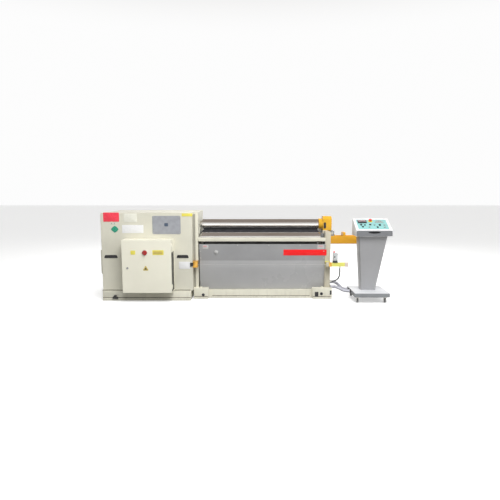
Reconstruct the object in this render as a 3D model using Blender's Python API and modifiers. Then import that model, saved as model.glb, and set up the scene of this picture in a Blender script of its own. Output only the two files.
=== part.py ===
"""Hydraulic four-roll plate rolling machine with its operator's console on castors.

Metres, +Z up, +X along the rolls towards the drop end, -Y towards the operator.
The origin is on the floor under the middle of the rolls, below the top roll's axis.
"""

import math
from collections import namedtuple

import bmesh
import bpy
from mathutils import Matrix, Vector

# Clearances: touching pieces, a stop at the end of a travel
FIT = 0.0003
STOP_GAP = 0.002

# How far a cutter runs past the face that it opens, and how deep joined solids sink into each other
CUT_PAST = 0.010
BORE_PAST = 0.100
SUNK = 0.010

# Rolls: the top roll is driven, the pinch roll lifts below it, the side rolls climb beside it
ROLL_LENGTH = 1.550
ROLL_RADIUS = 0.065
NECK_RADIUS = 0.035
DRIVE_NECK_RADIUS = 0.0425
TOP_AXIS_Z = 0.939
PINCH_OPENING = 0.014
SIDE_AXIS_Y = 0.170
SIDE_AXIS_Z = 0.775

# Guides of the moving rolls, with their travel from rest
SIDE_GUIDE_LEAN = math.radians(12)
SIDE_RISE = 0.120
SIDE_FALL = 0.040
PINCH_RISE = 0.012
PINCH_FALL = 0.040

# Side frames
DRIVE_SHOULDER = 0.030
IDLE_SHOULDER = 0.050
DRIVE_FRAME_THICKNESS = 0.060
IDLE_FRAME_THICKNESS = 0.070
FRAME_HALF_DEPTH = 0.320
DRIVE_FRAME_TOP = 1.110
IDLE_FRAME_TOP = 0.858

# Bearing blocks, the collars on their idle ends, and the lifting cylinders below them
BLOCK_HALF_WIDTH = 0.047
BLOCK_HEAD = 0.047
PINCH_BLOCK_TAIL = 0.047
SIDE_BLOCK_TAIL = 0.120
BLOCK_INSET = 0.001
COLLAR_LENGTH = 0.038
SIDE_COLLAR_RADIUS = 0.060
PINCH_COLLAR_RADIUS = 0.050
ROD_RADIUS = 0.018
ROD_ENGAGEMENT = 0.030
BARREL_RADIUS = 0.035
BARREL_BASE = 0.020
WINDOW_PAST_TOP = 0.060

# Gearmotors on the drive side
TOP_MOTOR_RADIUS = 0.072
TOP_MOTOR_REAR_RADIUS = 0.058
TOP_MOTOR_GEARBOX = 0.240
TOP_MOTOR_LENGTH = 0.420
PINCH_MOTOR_RADIUS = 0.046
PINCH_MOTOR_LENGTH = 0.260
SHAFT_INSERTION = 0.060

# Bed
BED_HEIGHT = 0.103
BED_HALF_DEPTH = 0.330
BED_BEAM_WIDTH = 0.100
BED_CROSS_WIDTH = 0.120
FOOT_HEIGHT = 0.140
FOOT_PROUD = 0.050
DRIVE_FOOT_LENGTH = 0.190
IDLE_FOOT_LENGTH = 0.250
FOOT_OVERHANG = 0.018
FOOT_INSET = 0.002
FOOT_LIFT = 0.003
ANCHOR_RADIUS = 0.016
ANCHOR_HEIGHT = 0.012

# Tie beams
TIE_LOW = 0.735
TIE_HEIGHT = 0.045
TIE_DEPTH = 0.075
TIE_FRONT = 0.330

# Folded guard panels
GUARD_SHEET = 0.004
GUARD_TOP = 0.702
GUARD_BEND = 0.490
GUARD_TOP_Y = 0.345
GUARD_BEND_Y = 0.315
GUARD_FOOT_Y = 0.264
GUARD_FLANGE = 0.030
GUARD_DRIVE_GAP = 0.015

# Drive casing and its plinth
CASING_LENGTH = 1.140
CASING_HALF_DEPTH = 0.450
CASING_STEP_DOWN = 0.004
CASING_SHEET = 0.004
CASING_LIP_OVERLAP = 0.020
END_HATCH_PROUD = 0.020
END_HATCH_LOW = 0.330
END_HATCH_HEIGHT = 0.310
END_HATCH_LENGTH = 0.300
END_HATCH_INSET = 0.012
PLINTH_HEIGHT = 0.120
PLINTH_HALF_DEPTH = 0.480
PLINTH_WALL = 0.008
PLINTH_BED_GAP = 0.024

# Hydraulic power unit in the casing
TANK_LENGTH = 0.500
TANK_DEPTH = 0.560
TANK_HEIGHT = 0.300
TANK_END_GAP = 0.100
VALVE_BLOCK_SIZE = (0.140, 0.180, 0.110)
VALVE_BLOCK_X = 0.375
PUMP_MOTOR_RADIUS = 0.090
PUMP_MOTOR_HEIGHT = 0.330
PUMP_MOTOR_X = 0.150
PUMP_FLANGE_RADIUS = 0.120
PUMP_FLANGE_HEIGHT = 0.025

# Electrical cabinet on the casing's front
CABINET_CENTRE_X = -1.400
CABINET_WIDTH = 0.602
CABINET_DEPTH = 0.200
CABINET_LOW = 0.133
CABINET_HEIGHT = 0.653
CABINET_SHEET = 0.003
DOOR_DEPTH = 0.020
DOOR_RIM = 0.012
MOUNTING_PLATE_MARGIN = 0.030
MOUNTING_PLATE_STANDOFF = 0.012
MOUNTING_PLATE_SHEET = 0.003
STANDOFF_RADIUS = 0.008
DEVICE_DEPTH = 0.060
DEVICE_HEIGHT = 0.085
DEVICE_ROWS = 3
DEVICE_ROW_PITCH = 0.170
DEVICE_LENGTH = 0.400
MAIN_SWITCH_X = -1.420
MAIN_SWITCH_Z = 0.632
MAIN_SWITCH_RADIUS = 0.030
MAIN_SWITCH_DEPTH = 0.028
MAIN_SWITCH_CROWN_RADIUS = 0.0255
MAIN_SWITCH_CROWN_DEPTH = 0.0084
MAIN_SWITCH_SHAFT = 0.006
MAIN_SWITCH_SHAFT_LENGTH = 0.012

# Drop end: a yellow saddle over the idle journal that hinges down onto its rest beam
HOUSING_SETBACK = 0.005
HOUSING_LENGTH = 0.115
HOUSING_HALF_DEPTH = 0.080
HOUSING_TOP = 1.042
HOUSING_CHAMFER = 0.035
HOUSING_CAP = 0.015
HUB_RADIUS = 0.072
HUB_GAP = 0.004
HUB_OVERLAP = 0.020
JOURNAL_END_GAP = 0.005
HINGE_OFFSET = 0.062
HINGE_DROP = 0.040
HINGE_PIN_RADIUS = 0.012
KNUCKLE_RADIUS = 0.020
KNUCKLE_HALF_LENGTH = 0.040
EAR_THICKNESS = 0.015
EAR_MARGIN = 0.028
PIN_END_INSET = 0.002
WEB_REACH = 0.040
WEB_INSET = 0.002
WEB_OVERLAP = 0.020
CRANK_REACH = 0.055
CRANK_HALF_WIDTH = 0.013
CRANK_PIN_RADIUS = 0.008
CRANK_INNER_Y = 0.022
CRANK_THICKNESS = 0.012
EYE_PROUD = 0.001

# Drop end's ram, cylinder and rest beam
FORK_WALL = 0.010
FORK_HALF_DEPTH = 0.018
FORK_PLAY = 0.0022
FORK_KNUCKLE_GAP = 0.007
RAM_RADIUS = 0.013
RAM_DROP = 0.090
RAM_CYLINDER_RADIUS = 0.030
RAM_CYLINDER_BASE = 0.020
RAM_ENGAGEMENT = 0.030
RAM_FRONT_GAP = 0.012
SADDLE_LENGTH = 0.100
SADDLE_HALF_WIDTH = 0.018
SADDLE_ROD_GAP = 0.006
BEAM_LENGTH = 0.455
BEAM_HEIGHT = 0.105
BEAM_WALL = 0.010
BEAM_FLOOR_DROP = 0.042
BEAM_FLANGE_WIDTH = 0.040
REST_PAD_LENGTH = 0.036
REST_PAD_OFFSET = 0.180
REST_PAD_OVERLAP = 0.012

# Trip wire across the front, its anchor, arm and rope-pull switch
WIRE_Y = -0.420
WIRE_Z = 0.452
WIRE_RADIUS = 0.003
WIRE_SIDES = 8
WIRE_ENTRY = 0.018
WIRE_HOLE_DEPTH = 0.020
ANCHOR_BLOCK_HEIGHT = 0.076
ANCHOR_BLOCK_DEPTH = 0.025
ARM_HEIGHT = 0.050
ARM_DEPTH = 0.036
ARM_REACH = 0.209
ARM_LEG_DEPTH = 0.030
SWITCH_WIDTH = 0.060
SWITCH_DEPTH = 0.050
SWITCH_HEIGHT = 0.122
SWITCH_BUTTON_RADIUS = 0.012
SWITCH_BUTTON_HEIGHT = 0.024
SWITCH_ALONG_ARM = 0.043

# Hydraulic hose that loops from the arm back into the idle frame
HOSE_RADIUS = 0.008
HOSE_POINT_STEP = 0.018
HOSE_ROUTE = (
    (1.0000, -0.420, 0.4267),
    (1.0000, -0.420, 0.4150),
    (1.0010, -0.416, 0.3900),
    (1.0040, -0.406, 0.3620),
    (1.0060, -0.392, 0.3360),
    (1.0070, -0.375, 0.3080),
    (1.0050, -0.357, 0.2820),
    (0.9980, -0.337, 0.2570),
    (0.9830, -0.319, 0.2360),
    (0.9580, -0.305, 0.2200),
    (0.9270, -0.298, 0.2130),
    (0.8953, -0.297, 0.2120),
)

# Corrugated conduits from the idle frame's glands to the console base's glands
CONDUIT_RADIUS = 0.019
CONDUIT_GROOVE_RADIUS = 0.0165
CONDUIT_BORE_RADIUS = 0.013
CONDUIT_RIB_PITCH = 0.0080
BORE_POINT_STEP = 4
ROUTE_PIECES = 24
GLAND_RADIUS = 0.026
CONSOLE_GLAND_RADIUS = 0.0239
GLAND_LENGTH = 0.012
GLAND_BORE_DEPTH = 0.020
UPPER_CONDUIT_ROUTE = (
    (0.9073, -0.225, 0.190),
    (0.9260, -0.225, 0.190),
    (0.9450, -0.225, 0.190),
    (0.9750, -0.2275, 0.1850),
    (1.0100, -0.2350, 0.1660),
    (1.0450, -0.2430, 0.1300),
    (1.0750, -0.2480, 0.1080),
    (1.1020, -0.250, 0.101),
    (1.1210, -0.250, 0.101),
    (1.1397, -0.250, 0.101),
)
LOWER_CONDUIT_ROUTE = (
    (0.9073, -0.290, 0.140),
    (0.9260, -0.290, 0.140),
    (0.9450, -0.290, 0.140),
    (0.9750, -0.2980, 0.1380),
    (1.0100, -0.3230, 0.1280),
    (1.0450, -0.3550, 0.1130),
    (1.0750, -0.3730, 0.1030),
    (1.1020, -0.380, 0.101),
    (1.1210, -0.380, 0.101),
    (1.1397, -0.380, 0.101),
)

# Console
CONSOLE_X = 1.365
CONSOLE_BASE_WIDTH = 0.430
CONSOLE_BASE_FRONT = -0.650
CONSOLE_BASE_DEPTH = 0.460
CONSOLE_BASE_LOW = 0.076
CONSOLE_BASE_HEIGHT = 0.050
COLUMN_TOP_WIDTH = 0.350
COLUMN_FOOT_WIDTH = 0.184
COLUMN_TOP_FRONT = -0.605
COLUMN_FOOT_FRONT = -0.430
COLUMN_TOP_DEPTH = 0.170
COLUMN_FOOT_DEPTH = 0.150
HEAD_WIDTH = 0.440
HEAD_FRONT = -0.650
HEAD_DEPTH = 0.240
HEAD_LOW = 0.831
HEAD_LIP_HEIGHT = 0.072
HEAD_REAR_HEIGHT = 0.204
FINGER_SLOT_WIDTH = 0.150
FINGER_SLOT_HEIGHT = 0.026
FINGER_SLOT_DEPTH = 0.030
FINGER_SLOT_RISE = 0.034
PANEL_WIDTH = 0.372
PANEL_LENGTH = 0.216
PANEL_SHEET = 0.004
PANEL_RECESS = 0.006

# Controls on the panel: across from the centre, up the slope from the panel's middle
STOP_BUTTON_PLACE = (-0.010, 0.078)
STOP_BUTTON_RADIUS = 0.020
STOP_BUTTON_HEIGHT = 0.020
STOP_BUTTON_TRAVEL = 0.005
SELECTOR_PLACE = (-0.138, -0.012)
SELECTOR_RADIUS = 0.014
SELECTOR_HEIGHT = 0.016
START_BUTTON_PLACE = (-0.028, -0.012)
START_BUTTON_RADIUS = 0.011
START_BUTTON_HEIGHT = 0.008
START_BUTTON_TRAVEL = 0.003
STEM_RADIUS = 0.005
STEM_LENGTH = 0.016
STEM_HOLE_DEPTH = 0.026
KNOB_CROWN_SHARE = 0.8
KNOB_WALL_SHARE = 0.6

# Console castors: the front pair swivels, the rear pair's forks are fixed to the base
CASTOR_WHEEL_RADIUS = 0.029
CASTOR_WHEEL_WIDTH = 0.020
CASTOR_AXLE_RADIUS = 0.005
CASTOR_FORK_WALL = 0.004
CASTOR_SIDE_PLAY = 0.001
CASTOR_FORK_HALF_LENGTH = 0.013
CASTOR_CROWN_GAP = 0.004
CASTOR_INSET_X = 0.045
CASTOR_INSET_Y = 0.045
CASTOR_TRAIL = 0.014
CASTOR_STEM_RADIUS = 0.008
CASTOR_STEM_LENGTH = 0.025
CASTOR_STEM_START = 0.006
CASTOR_CHEEK_DROP = 0.005
CASTOR_CHEEK_OVERLAP = 0.002
FIXED_MOUNT_HALF = 0.008
FIXED_MOUNT_DROP = 0.004

# Round pieces' sides
LARGE_SIDES = 36
MEDIUM_SIDES = 24
SMALL_SIDES = 16
SCREW_MERGE = 0.00005
WELD_DISTANCE = 0.00002

# Sizes that follow from the ones above
ROLL_END = ROLL_LENGTH / 2
DRIVE_IN = -(ROLL_END + DRIVE_SHOULDER)
DRIVE_OUT = DRIVE_IN - DRIVE_FRAME_THICKNESS
IDLE_IN = ROLL_END + IDLE_SHOULDER
IDLE_OUT = IDLE_IN + IDLE_FRAME_THICKNESS
PINCH_AXIS_Z = TOP_AXIS_Z - 2 * ROLL_RADIUS - PINCH_OPENING
FRAME_LOW = BED_HEIGHT + FIT
CASING_TOP = DRIVE_FRAME_TOP - CASING_STEP_DOWN
CASING_END = DRIVE_OUT - CASING_LENGTH
CABINET_BACK = -CASING_HALF_DEPTH - FIT
CABINET_FRONT = -CASING_HALF_DEPTH - CABINET_DEPTH
DOOR_BACK = CABINET_FRONT + DOOR_DEPTH
CABINET_LEFT = CABINET_CENTRE_X - CABINET_WIDTH / 2
CABINET_RIGHT = CABINET_CENTRE_X + CABINET_WIDTH / 2
HOUSING_LOW_X = IDLE_IN + HOUSING_SETBACK
HOUSING_RIGHT = HOUSING_LOW_X + HOUSING_LENGTH
HOUSING_LOW = IDLE_FRAME_TOP + FIT
JOURNAL_END = HOUSING_RIGHT - HOUSING_CAP - JOURNAL_END_GAP
HINGE_X = IDLE_OUT + HINGE_OFFSET
HINGE_Z = IDLE_FRAME_TOP - HINGE_DROP
EAR_OUTER_Y = KNUCKLE_HALF_LENGTH + FIT + EAR_THICKNESS
BEAM_HALF_DEPTH = EAR_OUTER_Y + FIT + BEAM_WALL
RAM_Z = HINGE_Z - RAM_DROP
BEAM_LOW = RAM_Z - BEAM_FLOOR_DROP - BEAM_WALL
BEAM_TOP = BEAM_LOW + BEAM_HEIGHT
CRANK_OFFSET = CRANK_REACH * math.sin(math.radians(45))
RAM_STROKE = 2 * CRANK_OFFSET
FORK_HALF_LENGTH = CRANK_PIN_RADIUS + FORK_PLAY + FORK_WALL
CONSOLE_BASE_TOP = CONSOLE_BASE_LOW + CONSOLE_BASE_HEIGHT
CONSOLE_LEFT = CONSOLE_X - CONSOLE_BASE_WIDTH / 2
HEAD_SLOPE = math.atan2(HEAD_REAR_HEIGHT - HEAD_LIP_HEIGHT, HEAD_DEPTH)

# A guide: its rest point on the roll's axis, its lean towards +Y, and its travel
Guide = namedtuple("Guide", "label y z lean rise fall tail collar")
GUIDES = (
    Guide("pinch", 0.0, PINCH_AXIS_Z, 0.0, PINCH_RISE, PINCH_FALL, PINCH_BLOCK_TAIL, PINCH_COLLAR_RADIUS),
    Guide("front", -SIDE_AXIS_Y, SIDE_AXIS_Z, SIDE_GUIDE_LEAN, SIDE_RISE, SIDE_FALL, SIDE_BLOCK_TAIL,
          SIDE_COLLAR_RADIUS),
    Guide("rear", SIDE_AXIS_Y, SIDE_AXIS_Z, -SIDE_GUIDE_LEAN, SIDE_RISE, SIDE_FALL, SIDE_BLOCK_TAIL,
          SIDE_COLLAR_RADIUS),
)

# Finishes: colour, roughness, metallic
CREAM = ((0.80, 0.78, 0.66), 0.45, 0.0)
GREY_PANEL = ((0.36, 0.36, 0.37), 0.45, 0.0)
STEEL = ((0.62, 0.62, 0.63), 0.25, 1.0)
DARK_STEEL = ((0.16, 0.16, 0.17), 0.45, 0.8)
CAST_GREY = ((0.42, 0.43, 0.44), 0.55, 0.2)
YELLOW = ((0.85, 0.48, 0.05), 0.40, 0.0)
SAFETY_YELLOW = ((0.90, 0.78, 0.20), 0.40, 0.0)
RED = ((0.80, 0.05, 0.06), 0.40, 0.0)
BLACK = ((0.03, 0.03, 0.03), 0.55, 0.0)
BLUE_GREY = ((0.20, 0.25, 0.30), 0.45, 0.1)
CONSOLE_GREY = ((0.42, 0.42, 0.44), 0.45, 0.0)
CONSOLE_WHITE = ((0.82, 0.82, 0.82), 0.40, 0.0)
TURQUOISE = ((0.30, 0.75, 0.72), 0.40, 0.0)
CONDUIT_GREY = ((0.55, 0.56, 0.60), 0.50, 0.0)
RUBBER = ((0.05, 0.05, 0.05), 0.80, 0.0)


def collection(name):
    """Make a collection in the scene."""
    made = bpy.data.collections.new(name)
    bpy.context.scene.collection.children.link(made)
    return made


def paint(piece, finish):
    """Give a piece its own Principled material."""
    colour, roughness, metallic = finish
    material = bpy.data.materials.new(piece.name)
    material.use_nodes = True
    shader = material.node_tree.nodes["Principled BSDF"]
    shader.inputs["Base Color"].default_value = (*colour, 1.0)
    shader.inputs["Roughness"].default_value = roughness
    shader.inputs["Metallic"].default_value = metallic
    piece.data.materials.clear()
    piece.data.materials.append(material)


def add(name, data, finish=None, home="machine"):
    """Link new object data; a piece without a finish is a tool for a Boolean."""
    piece = bpy.data.objects.new(name, data)
    bpy.data.collections[home if finish else "cutters"].objects.link(piece)
    if finish:
        paint(piece, finish)
    else:
        piece.hide_render = True
        piece.display_type = "WIRE"
    return piece


def mesh_from(shape, name):
    """Turn a bmesh into mesh data."""
    mesh = bpy.data.meshes.new(name)
    shape.to_mesh(mesh)
    shape.free()
    return mesh


def block(name, low, high, finish=None):
    """A box between two corners."""
    low = Vector(low)
    high = Vector(high)
    shape = bmesh.new()
    bmesh.ops.create_cube(shape, size=1.0, matrix=Matrix.Diagonal((*(high - low), 1.0)))
    piece = add(name, mesh_from(shape, name), finish)
    piece.location = (low + high) / 2
    return piece


def rod(name, start, end, radius, finish=None, sides=MEDIUM_SIDES):
    """A round bar between two points."""
    start = Vector(start)
    end = Vector(end)
    shape = bmesh.new()
    bmesh.ops.create_cone(shape, cap_ends=True, segments=sides, radius1=radius, radius2=radius,
                          depth=(end - start).length)
    piece = add(name, mesh_from(shape, name), finish)
    piece.rotation_mode = "QUATERNION"
    piece.rotation_quaternion = (end - start).to_track_quat("Z", "Y")
    piece.location = (start + end) / 2
    return piece


def bake(piece):
    """Apply a piece's modifiers and keep its place."""
    evaluated = piece.evaluated_get(bpy.context.evaluated_depsgraph_get())
    mesh = bpy.data.meshes.new_from_object(evaluated)
    piece.modifiers.clear()
    piece.data = mesh
    return piece


def turned(name, profile, start, direction, finish=None, sides=MEDIUM_SIDES):
    """A turned piece: (radius, height) pairs from the top down, Z laid along direction from start."""
    shape = bmesh.new()
    points = [shape.verts.new((radius, 0.0, height)) for radius, height in profile]
    for upper, lower in zip(points, points[1:]):
        shape.edges.new((upper, lower))
    if profile[0][0] > 0:
        shape.edges.new((points[-1], points[0]))
    piece = add(name, mesh_from(shape, name), finish)
    screw = piece.modifiers.new("turn", "SCREW")
    screw.axis = "Z"
    screw.steps = sides
    screw.render_steps = sides
    screw.use_merge_vertices = True
    screw.merge_threshold = SCREW_MERGE
    piece.rotation_mode = "QUATERNION"
    piece.rotation_quaternion = Vector(direction).to_track_quat("Z", "Y")
    piece.location = start
    return bake(piece)


def outline(name, points, thickness, place, finish=None):
    """A flat outline with a thickness, centred on the plane that place turns it into."""
    curve = bpy.data.curves.new(name, "CURVE")
    curve.dimensions = "2D"
    curve.fill_mode = "BOTH"
    curve.extrude = thickness / 2
    spline = curve.splines.new("POLY")
    spline.points.add(len(points) - 1)
    for point, (across, up) in zip(spline.points, points):
        point.co = (across, up, 0.0, 1.0)
    spline.use_cyclic_u = True
    guide = add(name, curve)
    guide.matrix_world = place
    return as_mesh(guide, finish)


def as_mesh(guide, finish=None):
    """Replace a curve by its welded mesh at the same place."""
    evaluated = guide.evaluated_get(bpy.context.evaluated_depsgraph_get())
    mesh = bpy.data.meshes.new_from_object(evaluated)
    shape = bmesh.new()
    shape.from_mesh(mesh)
    bmesh.ops.remove_doubles(shape, verts=shape.verts, dist=WELD_DISTANCE)
    shape.to_mesh(mesh)
    shape.free()
    name = guide.name
    place = guide.matrix_world.copy()
    bpy.data.objects.remove(guide)
    piece = add(name, mesh, finish)
    piece.matrix_world = place
    return piece


def across_x(centre_x):
    """Place for an outline drawn in Y and Z, thick along X."""
    return Matrix(((0, 0, 1, centre_x), (1, 0, 0, 0), (0, 1, 0, 0), (0, 0, 0, 1)))


def folded_sheet(name, line, sweep, thickness, finish):
    """A bent sheet: a line of points swept along a vector, its wall grown to one side."""
    shape = bmesh.new()
    near = [shape.verts.new(point) for point in line]
    far = [shape.verts.new(Vector(point) + Vector(sweep)) for point in line]
    for index in range(len(line) - 1):
        shape.faces.new((near[index], near[index + 1], far[index + 1], far[index]))
    piece = add(name, mesh_from(shape, name), finish)
    wall = piece.modifiers.new("wall", "SOLIDIFY")
    wall.thickness = thickness
    wall.offset = -1.0
    wall.use_even_offset = True
    return bake(piece)


def boolean(piece, tools, operation):
    """Run one Boolean for each tool, apply them and remove the tools."""
    for tool in tools:
        modifier = piece.modifiers.new(tool.name, "BOOLEAN")
        modifier.operation = operation
        modifier.object = tool
        modifier.solver = "EXACT"
    bake(piece)
    for tool in tools:
        bpy.data.objects.remove(tool)
    return piece


def cut(piece, *tools):
    """Cut the tools out of a piece."""
    return boolean(piece, tools, "DIFFERENCE")


def join(piece, *tools):
    """Weld the tools onto a piece as one closed body."""
    return boolean(piece, tools, "UNION")


def set_origin(piece, pivot):
    """Put a moving piece's origin on its joint's axis."""
    bpy.context.view_layer.update()
    piece.data.transform(Matrix.Translation(-Vector(pivot)) @ piece.matrix_world)
    piece.matrix_world = Matrix.Translation(pivot)
    return piece


def guide_point(guide, along, x=0.0):
    """The point on a guide's centre line at a travel from rest."""
    return Vector((x, guide.y + along * math.sin(guide.lean), guide.z + along * math.cos(guide.lean)))


def guide_direction(guide):
    """The way that a guide's block climbs."""
    return Vector((0.0, math.sin(guide.lean), math.cos(guide.lean)))


def guide_block(name, guide, low, high, half_width, x_low, x_high, finish=None):
    """A box laid along a guide between two travels."""
    piece = block(name, (x_low, -half_width, low), (x_high, half_width, high), finish)
    centre = guide_point(guide, (low + high) / 2, (x_low + x_high) / 2)
    piece.rotation_euler = (-guide.lean, 0.0, 0.0)
    piece.location = centre
    return piece


def rod_length(guide):
    """Length of a lifting rod below its block."""
    return guide.rise + guide.fall + ROD_ENGAGEMENT


def barrel_top(guide):
    """Travel of a lifting cylinder's upper end."""
    return -guide.fall - guide.tail - STOP_GAP


def barrel_low(guide):
    """Travel of a lifting cylinder's seat."""
    return barrel_top(guide) - rod_length(guide) - BARREL_BASE


def guide_window(name, guide, x_low, x_high, frame_top, open_top):
    """Cutter for a guide's window, through the frame's top where the block climbs past it."""
    top = guide.rise + BLOCK_HEAD + STOP_GAP
    if open_top:
        top = max(top, (frame_top - guide.z) / math.cos(guide.lean) + WINDOW_PAST_TOP)
    return guide_block(name, guide, barrel_low(guide) - FIT, top, BLOCK_HALF_WIDTH + FIT,
                       x_low - CUT_PAST, x_high + CUT_PAST)


def side_frames():
    """The tall drive-side plate and the shorter idle-side plate, with their guide windows."""
    drive = block("drive_side_frame", (DRIVE_OUT, -FRAME_HALF_DEPTH, FRAME_LOW),
                  (DRIVE_IN, FRAME_HALF_DEPTH, DRIVE_FRAME_TOP), CREAM)
    windows = [guide_window(f"{guide.label}_drive_window", guide, DRIVE_OUT, DRIVE_IN, DRIVE_FRAME_TOP, False)
               for guide in GUIDES]
    bearing = rod("top_bearing_bore", (DRIVE_OUT - CUT_PAST, 0, TOP_AXIS_Z),
                  (DRIVE_IN + CUT_PAST, 0, TOP_AXIS_Z), DRIVE_NECK_RADIUS + FIT, sides=LARGE_SIDES)
    cut(drive, *windows, bearing)

    idle = block("idle_side_frame", (IDLE_IN, -FRAME_HALF_DEPTH, FRAME_LOW),
                 (IDLE_OUT, FRAME_HALF_DEPTH, IDLE_FRAME_TOP), CREAM)
    windows = [guide_window(f"{guide.label}_idle_window", guide, IDLE_IN, IDLE_OUT, IDLE_FRAME_TOP, True)
               for guide in GUIDES]
    cut(idle, *windows)
    glands = []
    bores = []
    for route in (UPPER_CONDUIT_ROUTE, LOWER_CONDUIT_ROUTE):
        y, z = route[0][1:]
        glands.append(rod("gland", (IDLE_OUT - GLAND_LENGTH, y, z), (IDLE_OUT + GLAND_LENGTH, y, z),
                          GLAND_RADIUS, sides=SMALL_SIDES))
        bores.append(rod("gland_bore", (IDLE_OUT - GLAND_BORE_DEPTH, y, z),
                         (IDLE_OUT + 2 * GLAND_LENGTH, y, z), CONDUIT_BORE_RADIUS, sides=SMALL_SIDES))
    join(idle, *glands)
    cut(idle, *bores)


def bed():
    """The welded bed: a ladder of two long beams and three cross members, with four anchored feet."""
    frame = block("bed_frame", (DRIVE_OUT, -BED_HALF_DEPTH, 0), (IDLE_OUT, BED_HALF_DEPTH, BED_HEIGHT), CREAM)
    reach = BED_HALF_DEPTH - BED_BEAM_WIDTH
    middle = BED_CROSS_WIDTH / 2
    cut(frame, *[block("bed_bay", (low, -reach, -CUT_PAST), (high, reach, BED_HEIGHT + CUT_PAST))
                 for low, high in ((DRIVE_IN, -middle), (middle, IDLE_IN))])
    parts = []
    feet = ((DRIVE_OUT + FOOT_INSET, DRIVE_OUT + DRIVE_FOOT_LENGTH),
            (IDLE_OUT + FOOT_OVERHANG - IDLE_FOOT_LENGTH, IDLE_OUT + FOOT_OVERHANG))
    inner = FRAME_HALF_DEPTH + FIT
    outer = BED_HALF_DEPTH + FOOT_PROUD
    for side in (-1, 1):
        for low, high in feet:
            parts.append(block("foot", (low, min(side * inner, side * outer), FOOT_LIFT),
                               (high, max(side * inner, side * outer), FOOT_HEIGHT)))
            bolt_x = (low + high) / 2
            bolt_y = side * (BED_HALF_DEPTH + FOOT_PROUD / 2)
            parts.append(rod("anchor", (bolt_x, bolt_y, FOOT_HEIGHT - ANCHOR_HEIGHT),
                             (bolt_x, bolt_y, FOOT_HEIGHT + ANCHOR_HEIGHT), ANCHOR_RADIUS, sides=6))
    join(frame, *parts)


def tie_beams():
    """The two tie beams between the side frames, above the guard panels."""
    for name, side in (("front_tie_beam", -1), ("rear_tie_beam", 1)):
        outer = side * TIE_FRONT
        inner = side * (TIE_FRONT - TIE_DEPTH)
        block(name, (DRIVE_IN + FIT, min(outer, inner), TIE_LOW),
              (IDLE_IN - FIT, max(outer, inner), TIE_LOW + TIE_HEIGHT), CREAM)


def guard_panels():
    """The folded sheet guards below the tie beams, standing on the bed's beams."""
    foot = BED_HEIGHT + FIT
    start = DRIVE_IN + GUARD_DRIVE_GAP
    sweep = IDLE_IN - FIT - start
    for name, side in (("front_guard_panel", -1), ("rear_guard_panel", 1)):
        line = [(start, side * GUARD_TOP_Y, GUARD_TOP), (start, side * GUARD_BEND_Y, GUARD_BEND),
                (start, side * GUARD_FOOT_Y, foot), (start, side * (GUARD_FOOT_Y - GUARD_FLANGE), foot)]
        if side > 0:
            line.reverse()
        folded_sheet(name, line, (sweep, 0, 0), GUARD_SHEET, GREY_PANEL)


def lifting_gear():
    """Bearing blocks with their rods in the frames' windows, and the cylinders under them."""
    sides = (("left", DRIVE_OUT, DRIVE_IN, 0), ("right", IDLE_IN, IDLE_OUT, 1))
    for guide in GUIDES:
        label = guide.label if guide.label == "pinch" else f"{guide.label}_side"
        for side, x_low, x_high, idle in sides:
            centre_x = (x_low + x_high) / 2
            carrier = guide_block(f"{label}_block_{side}", guide, -guide.tail, BLOCK_HEAD, BLOCK_HALF_WIDTH,
                                  x_low + BLOCK_INSET, x_high - BLOCK_INSET, CAST_GREY)
            parts = [rod("lift_rod", guide_point(guide, -guide.tail - rod_length(guide), centre_x),
                         guide_point(guide, -guide.tail + SUNK, centre_x), ROD_RADIUS, sides=SMALL_SIDES)]
            if idle:
                parts.append(rod("collar", guide_point(guide, 0, x_low - BLOCK_INSET - COLLAR_LENGTH),
                                 guide_point(guide, 0, x_low - BLOCK_INSET), guide.collar))
                parts.append(rod("collar_neck", guide_point(guide, 0, x_low - 2 * BLOCK_INSET),
                                 guide_point(guide, 0, x_low + SUNK), BLOCK_HEAD - BLOCK_INSET))
            join(carrier, *parts)
            cut(carrier, rod("bearing_bore", guide_point(guide, 0, x_low - BORE_PAST),
                             guide_point(guide, 0, x_high + BORE_PAST), NECK_RADIUS + FIT))
            set_origin(carrier, guide_point(guide, 0, centre_x))

            depth = rod_length(guide)
            length = depth + BARREL_BASE
            turned(f"{label}_cylinder_{side}",
                   ((0, BARREL_BASE), (ROD_RADIUS + FIT, BARREL_BASE), (ROD_RADIUS + FIT, length),
                    (BARREL_RADIUS, length), (BARREL_RADIUS, 0), (0, 0)),
                   guide_point(guide, barrel_low(guide), centre_x), guide_direction(guide), DARK_STEEL)


def roll(name, y, z, left, left_radius, right):
    """A roll body with its two necks, turned about X."""
    profile = ((0, right), (NECK_RADIUS, right), (NECK_RADIUS, ROLL_END), (ROLL_RADIUS, ROLL_END),
               (ROLL_RADIUS, -ROLL_END), (left_radius, -ROLL_END), (left_radius, left), (0, left))
    return turned(name, profile, (0, y, z), (1, 0, 0), STEEL, LARGE_SIDES)


def rolls():
    """The four rolls."""
    roll("top_roll", 0, TOP_AXIS_Z, DRIVE_OUT - SHAFT_INSERTION, DRIVE_NECK_RADIUS, JOURNAL_END)
    for guide in GUIDES:
        pinch = guide.label == "pinch"
        left = DRIVE_OUT - SHAFT_INSERTION if pinch else DRIVE_OUT + 2 * BLOCK_INSET
        roll("pinch_roll" if pinch else f"{guide.label}_side_roll", guide.y, guide.z, left, NECK_RADIUS,
             IDLE_OUT - 2 * BLOCK_INSET)


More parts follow.
